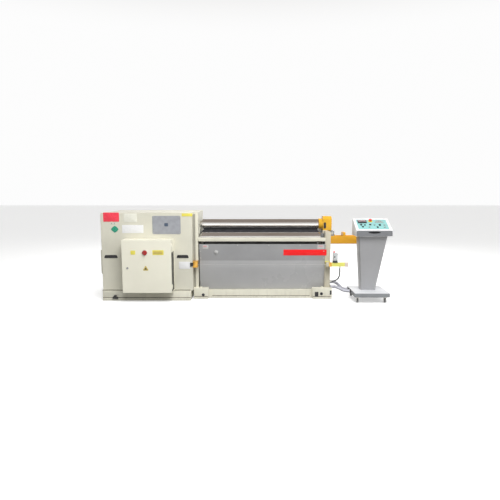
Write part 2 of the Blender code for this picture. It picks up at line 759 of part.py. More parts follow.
def gearmotors():
    """The hydraulic gearmotors on the drive-side ends of the top and pinch rolls."""
    bore = SHAFT_INSERTION + STOP_GAP
    turned("top_gearmotor",
           ((0, bore), (DRIVE_NECK_RADIUS + FIT, bore), (DRIVE_NECK_RADIUS + FIT, 0), (TOP_MOTOR_RADIUS, 0),
            (TOP_MOTOR_RADIUS, TOP_MOTOR_GEARBOX), (TOP_MOTOR_REAR_RADIUS, TOP_MOTOR_GEARBOX),
            (TOP_MOTOR_REAR_RADIUS, TOP_MOTOR_LENGTH), (0, TOP_MOTOR_LENGTH))[::-1],
           (DRIVE_OUT - FIT, 0, TOP_AXIS_Z), (-1, 0, 0), BLUE_GREY, LARGE_SIDES)
    turned("pinch_gearmotor",
           ((0, bore), (NECK_RADIUS + FIT, bore), (NECK_RADIUS + FIT, 0), (PINCH_MOTOR_RADIUS, 0),
            (PINCH_MOTOR_RADIUS, PINCH_MOTOR_LENGTH), (0, PINCH_MOTOR_LENGTH))[::-1],
           (DRIVE_OUT - FIT, 0, PINCH_AXIS_Z), (-1, 0, 0), BLUE_GREY, LARGE_SIDES)


def casing():
    """The plinth and the four sheet covers of the drive casing, the end one with its raised hatch."""
    plinth_right = DRIVE_OUT - PLINTH_BED_GAP
    plinth = block("casing_plinth", (CASING_END, -PLINTH_HALF_DEPTH, 0),
                   (plinth_right, PLINTH_HALF_DEPTH, PLINTH_HEIGHT), CREAM)
    inner = PLINTH_HALF_DEPTH - PLINTH_WALL
    cut(plinth, block("plinth_hollow", (CASING_END + PLINTH_WALL, -inner, -CUT_PAST),
                      (plinth_right - PLINTH_WALL, inner, PLINTH_HEIGHT - PLINTH_WALL)))

    low = PLINTH_HEIGHT + FIT
    top = CASING_TOP - CASING_SHEET - FIT
    right = DRIVE_OUT - FIT
    left = CASING_END + CASING_SHEET + FIT
    for name, side in (("casing_front_cover", -1), ("casing_rear_cover", 1)):
        line = [(left, side * CASING_HALF_DEPTH, low), (right, side * CASING_HALF_DEPTH, low),
                (right, side * (FRAME_HALF_DEPTH - CASING_LIP_OVERLAP), low)]
        if side > 0:
            line.reverse()
        folded_sheet(name, line, (0, 0, top - low), CASING_SHEET, CREAM)
    end = block("casing_end_cover", (CASING_END, -CASING_HALF_DEPTH, low),
                (CASING_END + CASING_SHEET, CASING_HALF_DEPTH, top), CREAM)
    hatch_front = -CASING_HALF_DEPTH + END_HATCH_INSET
    join(end, block("end_hatch", (CASING_END - END_HATCH_PROUD, hatch_front, END_HATCH_LOW),
                    (CASING_END + CASING_SHEET / 2, hatch_front + END_HATCH_LENGTH,
                     END_HATCH_LOW + END_HATCH_HEIGHT)))
    block("casing_top_cover", (CASING_END, -CASING_HALF_DEPTH, top + FIT), (right, CASING_HALF_DEPTH,
                                                                           CASING_TOP), CREAM)


def power_unit():
    """The hydraulic power unit: oil tank, valve block and the pump motor that stands on the tank."""
    left = CASING_END + TANK_END_GAP
    low = PLINTH_HEIGHT + FIT
    tank_top = low + TANK_HEIGHT
    tank = block("hydraulic_power_unit", (left, -TANK_DEPTH / 2, low),
                 (left + TANK_LENGTH, TANK_DEPTH / 2, tank_top), BLUE_GREY)
    width, depth, height = VALVE_BLOCK_SIZE
    valve_x = left + VALVE_BLOCK_X
    valves = block("valve_block", (valve_x - width / 2, -depth / 2, tank_top - SUNK),
                   (valve_x + width / 2, depth / 2, tank_top + height))
    motor = turned("pump_motor",
                   ((0, PUMP_MOTOR_HEIGHT), (PUMP_MOTOR_RADIUS, PUMP_MOTOR_HEIGHT),
                    (PUMP_MOTOR_RADIUS, PUMP_FLANGE_HEIGHT), (PUMP_FLANGE_RADIUS, PUMP_FLANGE_HEIGHT),
                    (PUMP_FLANGE_RADIUS, -SUNK), (0, -SUNK)),
                   (left + PUMP_MOTOR_X, 0, tank_top), (0, 0, 1))
    join(tank, valves, motor)


def cabinet():
    """The electrical cabinet: box, mounting plate with its devices, door and main switch."""
    top = CABINET_LOW + CABINET_HEIGHT
    wall = CABINET_SHEET
    shell = block("cabinet_shell", (CABINET_LEFT, DOOR_BACK + FIT, CABINET_LOW), (CABINET_RIGHT, CABINET_BACK,
                                                                                  top), CREAM)
    cut(shell, block("cabinet_hollow", (CABINET_LEFT + wall, DOOR_BACK - CUT_PAST, CABINET_LOW + wall),
                     (CABINET_RIGHT - wall, CABINET_BACK - wall, top - wall)))

    margin = MOUNTING_PLATE_MARGIN
    back = CABINET_BACK - wall - FIT
    plate_back = back - MOUNTING_PLATE_STANDOFF
    plate_front = plate_back - MOUNTING_PLATE_SHEET
    plate = block("cabinet_mounting_plate", (CABINET_LEFT + margin, plate_front, CABINET_LOW + margin),
                  (CABINET_RIGHT - margin, plate_back, top - margin), STEEL)
    parts = []
    for x in (CABINET_LEFT + 2 * margin, CABINET_RIGHT - 2 * margin):
        for z in (CABINET_LOW + 2 * margin, top - 2 * margin):
            parts.append(rod("standoff", (x, back, z), (x, plate_front + wall / 2, z), STANDOFF_RADIUS,
                             sides=SMALL_SIDES))
    middle_z = (CABINET_LOW + top) / 2
    for row in range(DEVICE_ROWS):
        z = middle_z + (row - (DEVICE_ROWS - 1) / 2) * DEVICE_ROW_PITCH
        parts.append(block("device_row", (CABINET_CENTRE_X - DEVICE_LENGTH / 2, plate_front - DEVICE_DEPTH,
                                          z - DEVICE_HEIGHT / 2),
                           (CABINET_CENTRE_X + DEVICE_LENGTH / 2, plate_front + wall / 2,
                            z + DEVICE_HEIGHT / 2)))
    join(plate, *parts)

    door = block("cabinet_door", (CABINET_LEFT, CABINET_FRONT, CABINET_LOW), (CABINET_RIGHT, DOOR_BACK, top),
                 CREAM)
    cut(door,
        block("door_pocket", (CABINET_LEFT + DOOR_RIM, CABINET_FRONT + wall, CABINET_LOW + DOOR_RIM),
              (CABINET_RIGHT - DOOR_RIM, DOOR_BACK + CUT_PAST, top - DOOR_RIM)),
        rod("switch_hole", (MAIN_SWITCH_X, CABINET_FRONT - CUT_PAST, MAIN_SWITCH_Z),
            (MAIN_SWITCH_X, DOOR_BACK, MAIN_SWITCH_Z), MAIN_SWITCH_SHAFT + FIT, sides=SMALL_SIDES))
    set_origin(door, (CABINET_RIGHT, CABINET_FRONT, CABINET_LOW))

    turned("main_switch",
           ((0, MAIN_SWITCH_DEPTH), (MAIN_SWITCH_CROWN_RADIUS, MAIN_SWITCH_DEPTH),
            (MAIN_SWITCH_RADIUS, MAIN_SWITCH_DEPTH - MAIN_SWITCH_CROWN_DEPTH), (MAIN_SWITCH_RADIUS, 0),
            (MAIN_SWITCH_SHAFT, 0),
            (MAIN_SWITCH_SHAFT, -MAIN_SWITCH_SHAFT_LENGTH), (0, -MAIN_SWITCH_SHAFT_LENGTH)),
           (MAIN_SWITCH_X, CABINET_FRONT - FIT, MAIN_SWITCH_Z), (0, -1, 0), RED, SMALL_SIDES)


def drop_end():
    """The drop-end housing with its crank, the hinge bracket, rest beam, ram and cylinder."""
    shoulder = HOUSING_TOP - HOUSING_CHAMFER
    side = HOUSING_HALF_DEPTH
    housing = outline("drop_end_housing",
                      ((-side, HOUSING_LOW), (side, HOUSING_LOW), (side, shoulder),
                       (side - HOUSING_CHAMFER, HOUSING_TOP), (HOUSING_CHAMFER - side, HOUSING_TOP),
                       (-side, shoulder)),
                      HOUSING_LENGTH, across_x((HOUSING_LOW_X + HOUSING_RIGHT) / 2), YELLOW)
    hub = rod("hub", (ROLL_END + HUB_GAP, 0, TOP_AXIS_Z), (HOUSING_LOW_X + HUB_OVERLAP, 0, TOP_AXIS_Z),
              HUB_RADIUS, sides=LARGE_SIDES)
    web_half = KNUCKLE_HALF_LENGTH - WEB_INSET
    web = block("hinge_web", (HINGE_X - WEB_REACH, -web_half, HINGE_Z),
                (HOUSING_RIGHT - WEB_INSET, web_half, HOUSING_LOW + WEB_OVERLAP))
    knuckle = rod("knuckle", (HINGE_X, -KNUCKLE_HALF_LENGTH, HINGE_Z),
                  (HINGE_X, KNUCKLE_HALF_LENGTH, HINGE_Z), KNUCKLE_RADIUS)
    crank_x = HINGE_X + CRANK_OFFSET
    crank_z = HINGE_Z - CRANK_OFFSET
    parts = [hub, web, knuckle]
    for facing in (-1, 1):
        inner = facing * CRANK_INNER_Y
        outer = facing * (CRANK_INNER_Y + CRANK_THICKNESS)
        lug = block("crank_lug", (-CRANK_HALF_WIDTH, min(inner, outer), -CRANK_REACH), (CRANK_HALF_WIDTH,
                                                                                       max(inner, outer), 0))
        lug.rotation_euler = (0, math.radians(-45), 0)
        lug.location = ((HINGE_X + crank_x) / 2, (inner + outer) / 2, (HINGE_Z + crank_z) / 2)
        parts.append(lug)
        parts.append(rod("crank_eye", (crank_x, inner - facing * EYE_PROUD, crank_z),
                         (crank_x, outer + facing * EYE_PROUD, crank_z), CRANK_HALF_WIDTH + EYE_PROUD,
                         sides=SMALL_SIDES))
    pin_end = CRANK_INNER_Y + CRANK_THICKNESS / 2
    parts.append(rod("crank_pin", (crank_x, -pin_end, crank_z), (crank_x, pin_end, crank_z), CRANK_PIN_RADIUS,
                     sides=SMALL_SIDES))
    join(housing, *parts)
    journal = NECK_RADIUS + FIT
    half_turn = LARGE_SIDES // 2
    saddle = [(journal * math.cos(math.pi * step / half_turn),
               TOP_AXIS_Z + journal * math.sin(math.pi * step / half_turn)) for step in range(half_turn + 1)]
    saddle += [(-journal, HOUSING_LOW - CUT_PAST), (journal, HOUSING_LOW - CUT_PAST)]
    seat_start = ROLL_END - CUT_PAST
    seat_end = HOUSING_RIGHT - HOUSING_CAP
    cut(housing,
        outline("journal_saddle", saddle, seat_end - seat_start, across_x((seat_start + seat_end) / 2)),
        rod("hinge_bore", (HINGE_X, -BORE_PAST, HINGE_Z), (HINGE_X, BORE_PAST, HINGE_Z),
            HINGE_PIN_RADIUS + FIT))
    set_origin(housing, (HINGE_X, 0, HINGE_Z))

    ear_low = BEAM_LOW + BEAM_WALL + FIT
    ears = []
    for facing in (-1, 1):
        inner = facing * (KNUCKLE_HALF_LENGTH + FIT)
        outer = facing * EAR_OUTER_Y
        ears.append(block("drop_end_hinge_bracket" if facing < 0 else "rear_ear",
                          (IDLE_OUT + FIT, min(inner, outer), ear_low),
                          (HINGE_X + EAR_MARGIN, max(inner, outer), HINGE_Z + EAR_MARGIN),
                          CAST_GREY if facing < 0 else None))
    join(ears[0], ears[1],
         rod("hinge_pin", (HINGE_X, -EAR_OUTER_Y + PIN_END_INSET, HINGE_Z),
             (HINGE_X, EAR_OUTER_Y - PIN_END_INSET, HINGE_Z), HINGE_PIN_RADIUS))

    ram_end = crank_x + FORK_HALF_LENGTH + RAM_FRONT_GAP + RAM_ENGAGEMENT + RAM_STROKE
    fork_top = HINGE_Z - KNUCKLE_RADIUS - FORK_KNUCKLE_GAP
    fork_low = RAM_Z - RAM_CYLINDER_RADIUS / 2
    ram = block("drop_end_ram", (crank_x - FORK_HALF_LENGTH, -FORK_HALF_DEPTH, fork_low),
                (crank_x + FORK_HALF_LENGTH, FORK_HALF_DEPTH, fork_top), STEEL)
    join(ram, rod("ram_rod", (crank_x, 0, RAM_Z), (ram_end, 0, RAM_Z), RAM_RADIUS, sides=SMALL_SIDES))
    slot = CRANK_PIN_RADIUS + FORK_PLAY
    slot_low = HINGE_Z - CRANK_REACH - CRANK_PIN_RADIUS - STOP_GAP
    cut(ram, block("fork_slot", (crank_x - slot, -BORE_PAST, slot_low),
                   (crank_x + slot, BORE_PAST, fork_top + CUT_PAST)))
    set_origin(ram, (crank_x, 0, RAM_Z))

    barrel_start = crank_x + FORK_HALF_LENGTH + RAM_FRONT_GAP
    bore_end = ram_end + STOP_GAP - barrel_start
    barrel_length = bore_end + RAM_CYLINDER_BASE
    barrel = turned("drop_end_cylinder",
                    ((0, barrel_length), (RAM_CYLINDER_RADIUS, barrel_length), (RAM_CYLINDER_RADIUS, 0),
                     (RAM_RADIUS + FIT, 0), (RAM_RADIUS + FIT, bore_end), (0, bore_end)),
                    (barrel_start, 0, RAM_Z), (1, 0, 0), DARK_STEEL)
    saddle_x = barrel_start + barrel_length / 2
    saddle_low = BEAM_LOW + BEAM_WALL + FIT
    saddle_top = RAM_Z - RAM_RADIUS - SADDLE_ROD_GAP
    join(barrel, block("saddle", (saddle_x - SADDLE_LENGTH / 2, -SADDLE_HALF_WIDTH, saddle_low),
                       (saddle_x + SADDLE_LENGTH / 2, SADDLE_HALF_WIDTH, saddle_top)))

    beam_end = IDLE_OUT + FIT + BEAM_LENGTH
    beam = block("drop_end_rest_beam", (IDLE_OUT + FIT, -BEAM_HALF_DEPTH, BEAM_LOW), (beam_end,
                                                                                    BEAM_HALF_DEPTH,
                                                                                    BEAM_TOP), YELLOW)
    inner = BEAM_HALF_DEPTH - BEAM_WALL
    cut(beam, block("beam_channel", (IDLE_OUT - CUT_PAST, -inner, BEAM_LOW + BEAM_WALL),
                    (beam_end - BEAM_WALL, inner, BEAM_TOP + CUT_PAST)))
    pad_x = HINGE_X + REST_PAD_OFFSET
    pad_top = HINGE_Z + HINGE_X - HOUSING_RIGHT - 2 * FIT
    parts = [block("rest_pad", (pad_x - REST_PAD_LENGTH, -BEAM_HALF_DEPTH, BEAM_TOP - REST_PAD_OVERLAP),
                   (pad_x, BEAM_HALF_DEPTH, pad_top))]
    for facing in (-1, 1):
        near = facing * (BEAM_HALF_DEPTH - BEAM_WALL / 2)
        far = facing * (BEAM_HALF_DEPTH + BEAM_FLANGE_WIDTH)
        parts.append(block("beam_flange", (IDLE_OUT + FIT, min(near, far), BEAM_LOW),
                           (IDLE_OUT + FIT + BEAM_WALL, max(near, far), BEAM_TOP)))
    join(beam, *parts)


def trip_wire():
    """The trip wire, its anchor block, the yellow arm and the rope-pull switch on it."""
    frame_front = -FRAME_HALF_DEPTH
    low = WIRE_Z - ANCHOR_BLOCK_HEIGHT / 2
    high = WIRE_Z + ANCHOR_BLOCK_HEIGHT / 2
    anchor = block("wire_anchor", (DRIVE_OUT, WIRE_Y - ANCHOR_BLOCK_DEPTH / 2, low),
                   (DRIVE_IN, frame_front - FIT, high), BLACK)
    reach = WIRE_RADIUS + FIT
    cut(anchor, rod("wire_hole", (DRIVE_IN - WIRE_HOLE_DEPTH, WIRE_Y, WIRE_Z),
                    (DRIVE_IN + CUT_PAST, WIRE_Y, WIRE_Z), reach, sides=SMALL_SIDES))

    arm = block("wire_arm", (IDLE_IN, WIRE_Y - ARM_DEPTH / 2, WIRE_Z - ARM_HEIGHT / 2),
                (IDLE_OUT + ARM_REACH, WIRE_Y + ARM_DEPTH / 2, WIRE_Z + ARM_HEIGHT / 2), SAFETY_YELLOW)
    join(arm, block("arm_leg", (IDLE_IN, WIRE_Y, WIRE_Z - ARM_HEIGHT / 2), (IDLE_IN + ARM_LEG_DEPTH * 2,
                                                                          frame_front - FIT,
                                                                          WIRE_Z + ARM_HEIGHT / 2)))
    cut(arm, rod("wire_hole", (IDLE_IN - CUT_PAST, WIRE_Y, WIRE_Z),
                 (IDLE_IN + WIRE_HOLE_DEPTH, WIRE_Y, WIRE_Z), reach, sides=SMALL_SIDES))

    rod("trip_wire", (DRIVE_IN - WIRE_ENTRY, WIRE_Y, WIRE_Z), (IDLE_IN + WIRE_ENTRY, WIRE_Y, WIRE_Z),
        WIRE_RADIUS, STEEL, sides=WIRE_SIDES)

    switch_x = IDLE_OUT + SWITCH_ALONG_ARM
    switch_low = WIRE_Z + ARM_HEIGHT / 2 + FIT
    switch = block("rope_switch", (switch_x - SWITCH_WIDTH / 2, WIRE_Y - SWITCH_DEPTH / 2, switch_low),
                   (switch_x + SWITCH_WIDTH / 2, WIRE_Y + SWITCH_DEPTH / 2, switch_low + SWITCH_HEIGHT),
                   CAST_GREY)
    button_x = switch_x - SWITCH_WIDTH / 4
    join(switch, rod("reset_button", (button_x, WIRE_Y, switch_low + SWITCH_HEIGHT - SUNK),
                     (button_x, WIRE_Y, switch_low + SWITCH_HEIGHT + SWITCH_BUTTON_HEIGHT),
                     SWITCH_BUTTON_RADIUS, sides=SMALL_SIDES))


def smooth_route(route, step):
    """Points at an even step along a smooth curve through a route's own points."""
    points = [Vector(point) for point in route]
    ends = [2 * points[0] - points[1], *points, 2 * points[-1] - points[-2]]
    fine = []
    for before, start, end, after in zip(ends, ends[1:], ends[2:], ends[3:]):
        for index in range(ROUTE_PIECES):
            t = index / ROUTE_PIECES
            fine.append(0.5 * (2 * start + (end - before) * t
                               + (2 * before - 5 * start + 4 * end - after) * t ** 2
                               + (3 * start - before - 3 * end + after) * t ** 3))
    fine.append(points[-1])
    lengths = [0.0]
    for near, far in zip(fine, fine[1:]):
        lengths.append(lengths[-1] + (far - near).length)
    count = max(2, round(lengths[-1] / step))
    even = []
    index = 0
    for number in range(count + 1):
        wanted = lengths[-1] * number / count
        while index < len(fine) - 2 and lengths[index + 1] < wanted:
            index += 1
        span = lengths[index + 1] - lengths[index]
        even.append(fine[index].lerp(fine[index + 1], (wanted - lengths[index]) / span))
    return even


def tube(name, points, radii, finish=None, resolution=2):
    """A tube through points, with its own radius at each, as a closed mesh."""
    curve = bpy.data.curves.new(name, "CURVE")
    curve.dimensions = "3D"
    curve.bevel_depth = 1.0
    curve.bevel_resolution = resolution
    curve.use_fill_caps = True
    spline = curve.splines.new("POLY")
    spline.points.add(len(points) - 1)
    for point, place, radius in zip(spline.points, points, radii):
        point.co = (*place, 1.0)
        point.radius = radius
    return as_mesh(add(name, curve), finish)


def conduits():
    """The two corrugated conduits: ribs between plain ends, with the bore cut out."""
    for name, route in (("upper_conduit", UPPER_CONDUIT_ROUTE), ("lower_conduit", LOWER_CONDUIT_ROUTE)):
        points = smooth_route(route, CONDUIT_RIB_PITCH / 2)
        plain = round(2 * CONDUIT_RADIUS / (CONDUIT_RIB_PITCH / 2))
        radii = []
        for index in range(len(points)):
            straight = index < plain or index >= len(points) - plain
            radii.append(CONDUIT_RADIUS if straight or index % 2 else CONDUIT_GROOVE_RADIUS)
        conduit = tube(name, points, radii, CONDUIT_GREY)
        first = 2 * points[0] - points[1]
        last = 2 * points[-1] - points[-2]
        bore_points = [first, *points[::BORE_POINT_STEP], last]
        bore = tube("conduit_bore", bore_points, [CONDUIT_BORE_RADIUS] * len(bore_points))
        cut(conduit, bore)


def hose():
    """The black hydraulic hose that loops from the arm back to the idle frame."""
    points = smooth_route(HOSE_ROUTE, HOSE_POINT_STEP)
    tube("drop_end_hose", points, [HOSE_RADIUS] * len(points), RUBBER)


def castor_fork(name, x, y, finish=None):
    """A castor's fork with its axle, its crown just under the console base."""
    crown_top = CONSOLE_BASE_LOW - FIT
    crown_low = 2 * CASTOR_WHEEL_RADIUS + CASTOR_CROWN_GAP
    half_width = CASTOR_WHEEL_WIDTH / 2 + CASTOR_SIDE_PLAY
    outer = half_width + CASTOR_FORK_WALL
    reach = CASTOR_TRAIL + CASTOR_FORK_HALF_LENGTH
    fork = block(name, (x - outer, y - CASTOR_FORK_HALF_LENGTH, crown_low), (x + outer, y + reach, crown_top),
                 finish)
    axle_y = y + CASTOR_TRAIL
    cheek_low = CASTOR_WHEEL_RADIUS - CASTOR_AXLE_RADIUS - CASTOR_CHEEK_DROP
    parts = []
    for side in (-1, 1):
        near = x + side * half_width
        far = x + side * outer
        parts.append(block("cheek", (min(near, far), axle_y - CASTOR_FORK_HALF_LENGTH, cheek_low),
                           (max(near, far), axle_y + CASTOR_FORK_HALF_LENGTH,
                            crown_low + CASTOR_CHEEK_OVERLAP)))
    axle_end = half_width + CASTOR_FORK_WALL / 2
    parts.append(rod("axle", (x - axle_end, axle_y, CASTOR_WHEEL_RADIUS),
                     (x + axle_end, axle_y, CASTOR_WHEEL_RADIUS), CASTOR_AXLE_RADIUS, sides=SMALL_SIDES))
    return fork, parts


def castor_places():
    """Each castor's label and swivel axis: front pair swivelling, rear pair fixed."""
    back = CONSOLE_BASE_FRONT + CONSOLE_BASE_DEPTH
    places = []
    for row, y in (("front", CONSOLE_BASE_FRONT + CASTOR_INSET_Y), ("rear", back - CASTOR_INSET_Y)):
        for side, sign in (("left", -1), ("right", 1)):
            x = CONSOLE_X + sign * (CONSOLE_BASE_WIDTH / 2 - CASTOR_INSET_X)
            places.append((row, side, x, y))
    return places


def console_base():
    """The console's base plate with its conduit glands and the rear castors' fixed forks."""
    base = block("console_base", (CONSOLE_LEFT, CONSOLE_BASE_FRONT, CONSOLE_BASE_LOW),
                 (CONSOLE_X + CONSOLE_BASE_WIDTH / 2, CONSOLE_BASE_FRONT + CONSOLE_BASE_DEPTH,
                  CONSOLE_BASE_TOP), CONSOLE_GREY)
    parts = []
    holes = []
    for route in (UPPER_CONDUIT_ROUTE, LOWER_CONDUIT_ROUTE):
        y, z = route[-1][1:]
        gland_start = route[-1][0] + FIT
        parts.append(rod("gland", (gland_start, y, z), (CONSOLE_LEFT + GLAND_LENGTH, y, z),
                         CONSOLE_GLAND_RADIUS, sides=SMALL_SIDES))
        holes.append(rod("gland_bore", (gland_start - CUT_PAST, y, z),
                         (CONSOLE_LEFT + GLAND_BORE_DEPTH, y, z), CONDUIT_BORE_RADIUS, sides=SMALL_SIDES))
    for row, side, x, y in castor_places():
        if row == "rear":
            crown, cheeks = castor_fork("fixed_fork", x, y)
            parts.append(crown)
            parts.extend(cheeks)
            half = FIXED_MOUNT_HALF
            parts.append(block("fixed_mount", (x - half, y - half, CONSOLE_BASE_LOW - FIXED_MOUNT_DROP),
                               (x + half, y + half, CONSOLE_BASE_LOW + SUNK)))
        else:
            holes.append(rod("stem_hole", (x, y, CONSOLE_BASE_LOW - CUT_PAST),
                             (x, y, CONSOLE_BASE_LOW + CASTOR_STEM_LENGTH + STOP_GAP),
                             CASTOR_STEM_RADIUS + FIT, sides=SMALL_SIDES))
    join(base, *parts)
    cut(base, *holes)


def castors():
    """The castor wheels, and the swivelling forks of the front pair."""
    for row, side, x, y in castor_places():
        axle_y = y + CASTOR_TRAIL
        if row == "front":
            fork, parts = castor_fork(f"front_castor_fork_{side}", x, y, CAST_GREY)
            parts.append(rod("stem", (x, y, CONSOLE_BASE_LOW - CASTOR_STEM_START),
                             (x, y, CONSOLE_BASE_LOW + CASTOR_STEM_LENGTH), CASTOR_STEM_RADIUS,
                             sides=SMALL_SIDES))
            join(fork, *parts)
            set_origin(fork, (x, y, CONSOLE_BASE_LOW))
        half = CASTOR_WHEEL_WIDTH / 2
        hub = CASTOR_AXLE_RADIUS + FIT
        turned(f"{row}_castor_wheel_{side}",
               ((hub, half), (CASTOR_WHEEL_RADIUS, half), (CASTOR_WHEEL_RADIUS, -half), (hub, -half)),
               (x, axle_y, CASTOR_WHEEL_RADIUS), (1, 0, 0), RUBBER, SMALL_SIDES)


def console_column():
    """The tapered column that leans forward from the base to the head."""
    shape = bmesh.new()
    bmesh.ops.create_cube(shape, size=2.0)
    for vertex in shape.verts:
        high = vertex.co.z > 0
        width = COLUMN_TOP_WIDTH if high else COLUMN_FOOT_WIDTH
        front = COLUMN_TOP_FRONT if high else COLUMN_FOOT_FRONT
        depth = COLUMN_TOP_DEPTH if high else COLUMN_FOOT_DEPTH
        vertex.co = (CONSOLE_X + vertex.co.x * width / 2, front + (depth if vertex.co.y > 0 else 0),
                     HEAD_LOW - FIT if high else CONSOLE_BASE_TOP + FIT)
    add("console_column", mesh_from(shape, "console_column"), CONSOLE_GREY)


def panel_place(across, up, height):
    """A point over the sloping panel: across, up the slope from its middle, above its surface."""
    middle_y = HEAD_FRONT + HEAD_DEPTH / 2
    middle_z = HEAD_LOW + (HEAD_LIP_HEIGHT + HEAD_REAR_HEIGHT) / 2
    slope = Matrix.Rotation(HEAD_SLOPE, 4, "X")
    surface = PANEL_SHEET - PANEL_RECESS
    return Matrix.Translation((CONSOLE_X, middle_y, middle_z)) @ slope @ Matrix.Translation(
        (across, up, surface + height))


def panel_normal():
    """The direction out of the sloping panel."""
    return Vector((0, -math.sin(HEAD_SLOPE), math.cos(HEAD_SLOPE)))


def control_hole(place, depth):
    """Cutter for a control's stem hole."""
    start = panel_place(*place, CUT_PAST).translation
    end = panel_place(*place, -depth).translation
    return rod("stem_hole", start, end, STEM_RADIUS + FIT, sides=SMALL_SIDES)


def console_head():
    """The wedge head with its finger slot and panel recess, and the panel."""
    back = HEAD_FRONT + HEAD_DEPTH
    head = outline("console_head",
                   ((HEAD_FRONT, HEAD_LOW), (back, HEAD_LOW), (back, HEAD_LOW + HEAD_REAR_HEIGHT),
                    (HEAD_FRONT, HEAD_LOW + HEAD_LIP_HEIGHT)), HEAD_WIDTH, across_x(CONSOLE_X), CONSOLE_WHITE)
    slot_low = HEAD_LOW + FINGER_SLOT_RISE
    slot = block("finger_slot", (CONSOLE_X - FINGER_SLOT_WIDTH / 2, HEAD_FRONT - CUT_PAST, slot_low),
                 (CONSOLE_X + FINGER_SLOT_WIDTH / 2, HEAD_FRONT + FINGER_SLOT_DEPTH,
                  slot_low + FINGER_SLOT_HEIGHT))
    recess = block("panel_recess", (-PANEL_WIDTH / 2 - FIT, -PANEL_LENGTH / 2 - FIT, -PANEL_RECESS),
                   (PANEL_WIDTH / 2 + FIT, PANEL_LENGTH / 2 + FIT, PANEL_RECESS))
    recess.matrix_world = panel_place(0, 0, PANEL_RECESS - PANEL_SHEET)
    places = (STOP_BUTTON_PLACE, SELECTOR_PLACE, START_BUTTON_PLACE)
    cut(head, slot, recess, *[control_hole(place, STEM_HOLE_DEPTH) for place in places])

    panel = block("console_panel", (-PANEL_WIDTH / 2, -PANEL_LENGTH / 2, -PANEL_SHEET / 2 + FIT / 2),
                  (PANEL_WIDTH / 2, PANEL_LENGTH / 2, PANEL_SHEET / 2 - FIT / 2), TURQUOISE)
    panel.matrix_world = panel_place(0, 0, -PANEL_SHEET / 2 + FIT / 2)
    cut(panel, *[control_hole(place, STEM_HOLE_DEPTH) for place in places])


def console_controls():
    """The emergency stop, the roll selector and the start button, each on its own stem."""
    controls = (("emergency_stop", STOP_BUTTON_PLACE, STOP_BUTTON_RADIUS, STOP_BUTTON_HEIGHT,
                 STOP_BUTTON_TRAVEL, RED),
                ("selector_knob", SELECTOR_PLACE, SELECTOR_RADIUS, SELECTOR_HEIGHT, 0, BLACK),
                ("start_button", START_BUTTON_PLACE, START_BUTTON_RADIUS, START_BUTTON_HEIGHT,
                 START_BUTTON_TRAVEL, BLACK))
    for name, place, radius, height, travel, finish in controls:
        rise = travel + FIT
        turned(name,
               ((0, rise + height), (radius * KNOB_CROWN_SHARE, rise + height),
                (radius, rise + height * KNOB_WALL_SHARE), (radius, rise), (STEM_RADIUS, rise),
                (STEM_RADIUS, -STEM_LENGTH), (0, -STEM_LENGTH)),
               panel_place(*place, 0).translation, panel_normal(), finish, SMALL_SIDES)


def build():
    """Clear the scene and model every piece."""
    for existing in list(bpy.data.objects):
        bpy.data.objects.remove(existing)
    collection("machine")
    collection("cutters")
    bed()
    side_frames()
    tie_beams()
    guard_panels()
    lifting_gear()
    rolls()
    gearmotors()
    casing()
    power_unit()
    cabinet()
    drop_end()
    trip_wire()
    hose()
    conduits()
    console_base()
    castors()
    console_column()
    console_head()
    console_controls()
    for piece in bpy.data.collections["machine"].objects:
        piece.data.shade_smooth()
        piece.data.set_sharp_from_angle(angle=math.radians(30))


build()
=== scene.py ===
"""Looks of a hydraulic four-roll plate rolling machine and its operator's console.

Every place is in metres in the frame of the loaded model: +Z up, +X along the rolls towards the
drop end, -Y towards the operator. Each piece is a surface worked out as whole arrays of points.
"""

import math

import bmesh
import bpy
import numpy as np
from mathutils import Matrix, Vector


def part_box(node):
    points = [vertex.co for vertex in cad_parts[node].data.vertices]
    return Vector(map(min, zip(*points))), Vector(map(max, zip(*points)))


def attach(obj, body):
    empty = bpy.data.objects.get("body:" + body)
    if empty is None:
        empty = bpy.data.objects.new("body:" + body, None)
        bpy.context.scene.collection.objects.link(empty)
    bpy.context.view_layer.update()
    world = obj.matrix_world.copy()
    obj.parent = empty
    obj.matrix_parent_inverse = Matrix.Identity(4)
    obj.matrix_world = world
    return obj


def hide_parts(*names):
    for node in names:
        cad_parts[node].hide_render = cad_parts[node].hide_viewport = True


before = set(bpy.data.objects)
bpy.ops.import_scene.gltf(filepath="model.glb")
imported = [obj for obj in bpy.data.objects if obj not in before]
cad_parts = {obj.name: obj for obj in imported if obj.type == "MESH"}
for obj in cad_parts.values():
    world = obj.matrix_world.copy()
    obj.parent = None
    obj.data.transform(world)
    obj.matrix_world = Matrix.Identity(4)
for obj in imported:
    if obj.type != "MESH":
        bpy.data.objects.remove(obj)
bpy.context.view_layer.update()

bl_info = {
    "name": "Plate Rolling Machine Looks",
    "version": (1, 0, 0),
    "blender": (4, 5, 0),
    "location": "View3D > Sidebar > Rolling Machine",
    "description": "Builds the finished surfaces of a four-roll plate rolling machine",
    "category": "Object",
}

MACHINE = "machine"
TAU = 2 * math.pi
WELD = 1e-6
HAIR = 0.0004
EDGE_STEPS = 3
PEEL = 0.00035
TOOL_MARKS = 0.00008


def span(node):
    """The lowest and the highest corner of a node, as numpy arrays."""
    return np.array(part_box(node), float)


def low(node):
    """The lowest corner of a node."""
    return span(node)[0]


def high(node):
    """The highest corner of a node."""
    return span(node)[1]


# The finished materials by name
MATERIALS = {}


# Surfaces: rings of points carried along a path, turned about an axis, or offset from a line


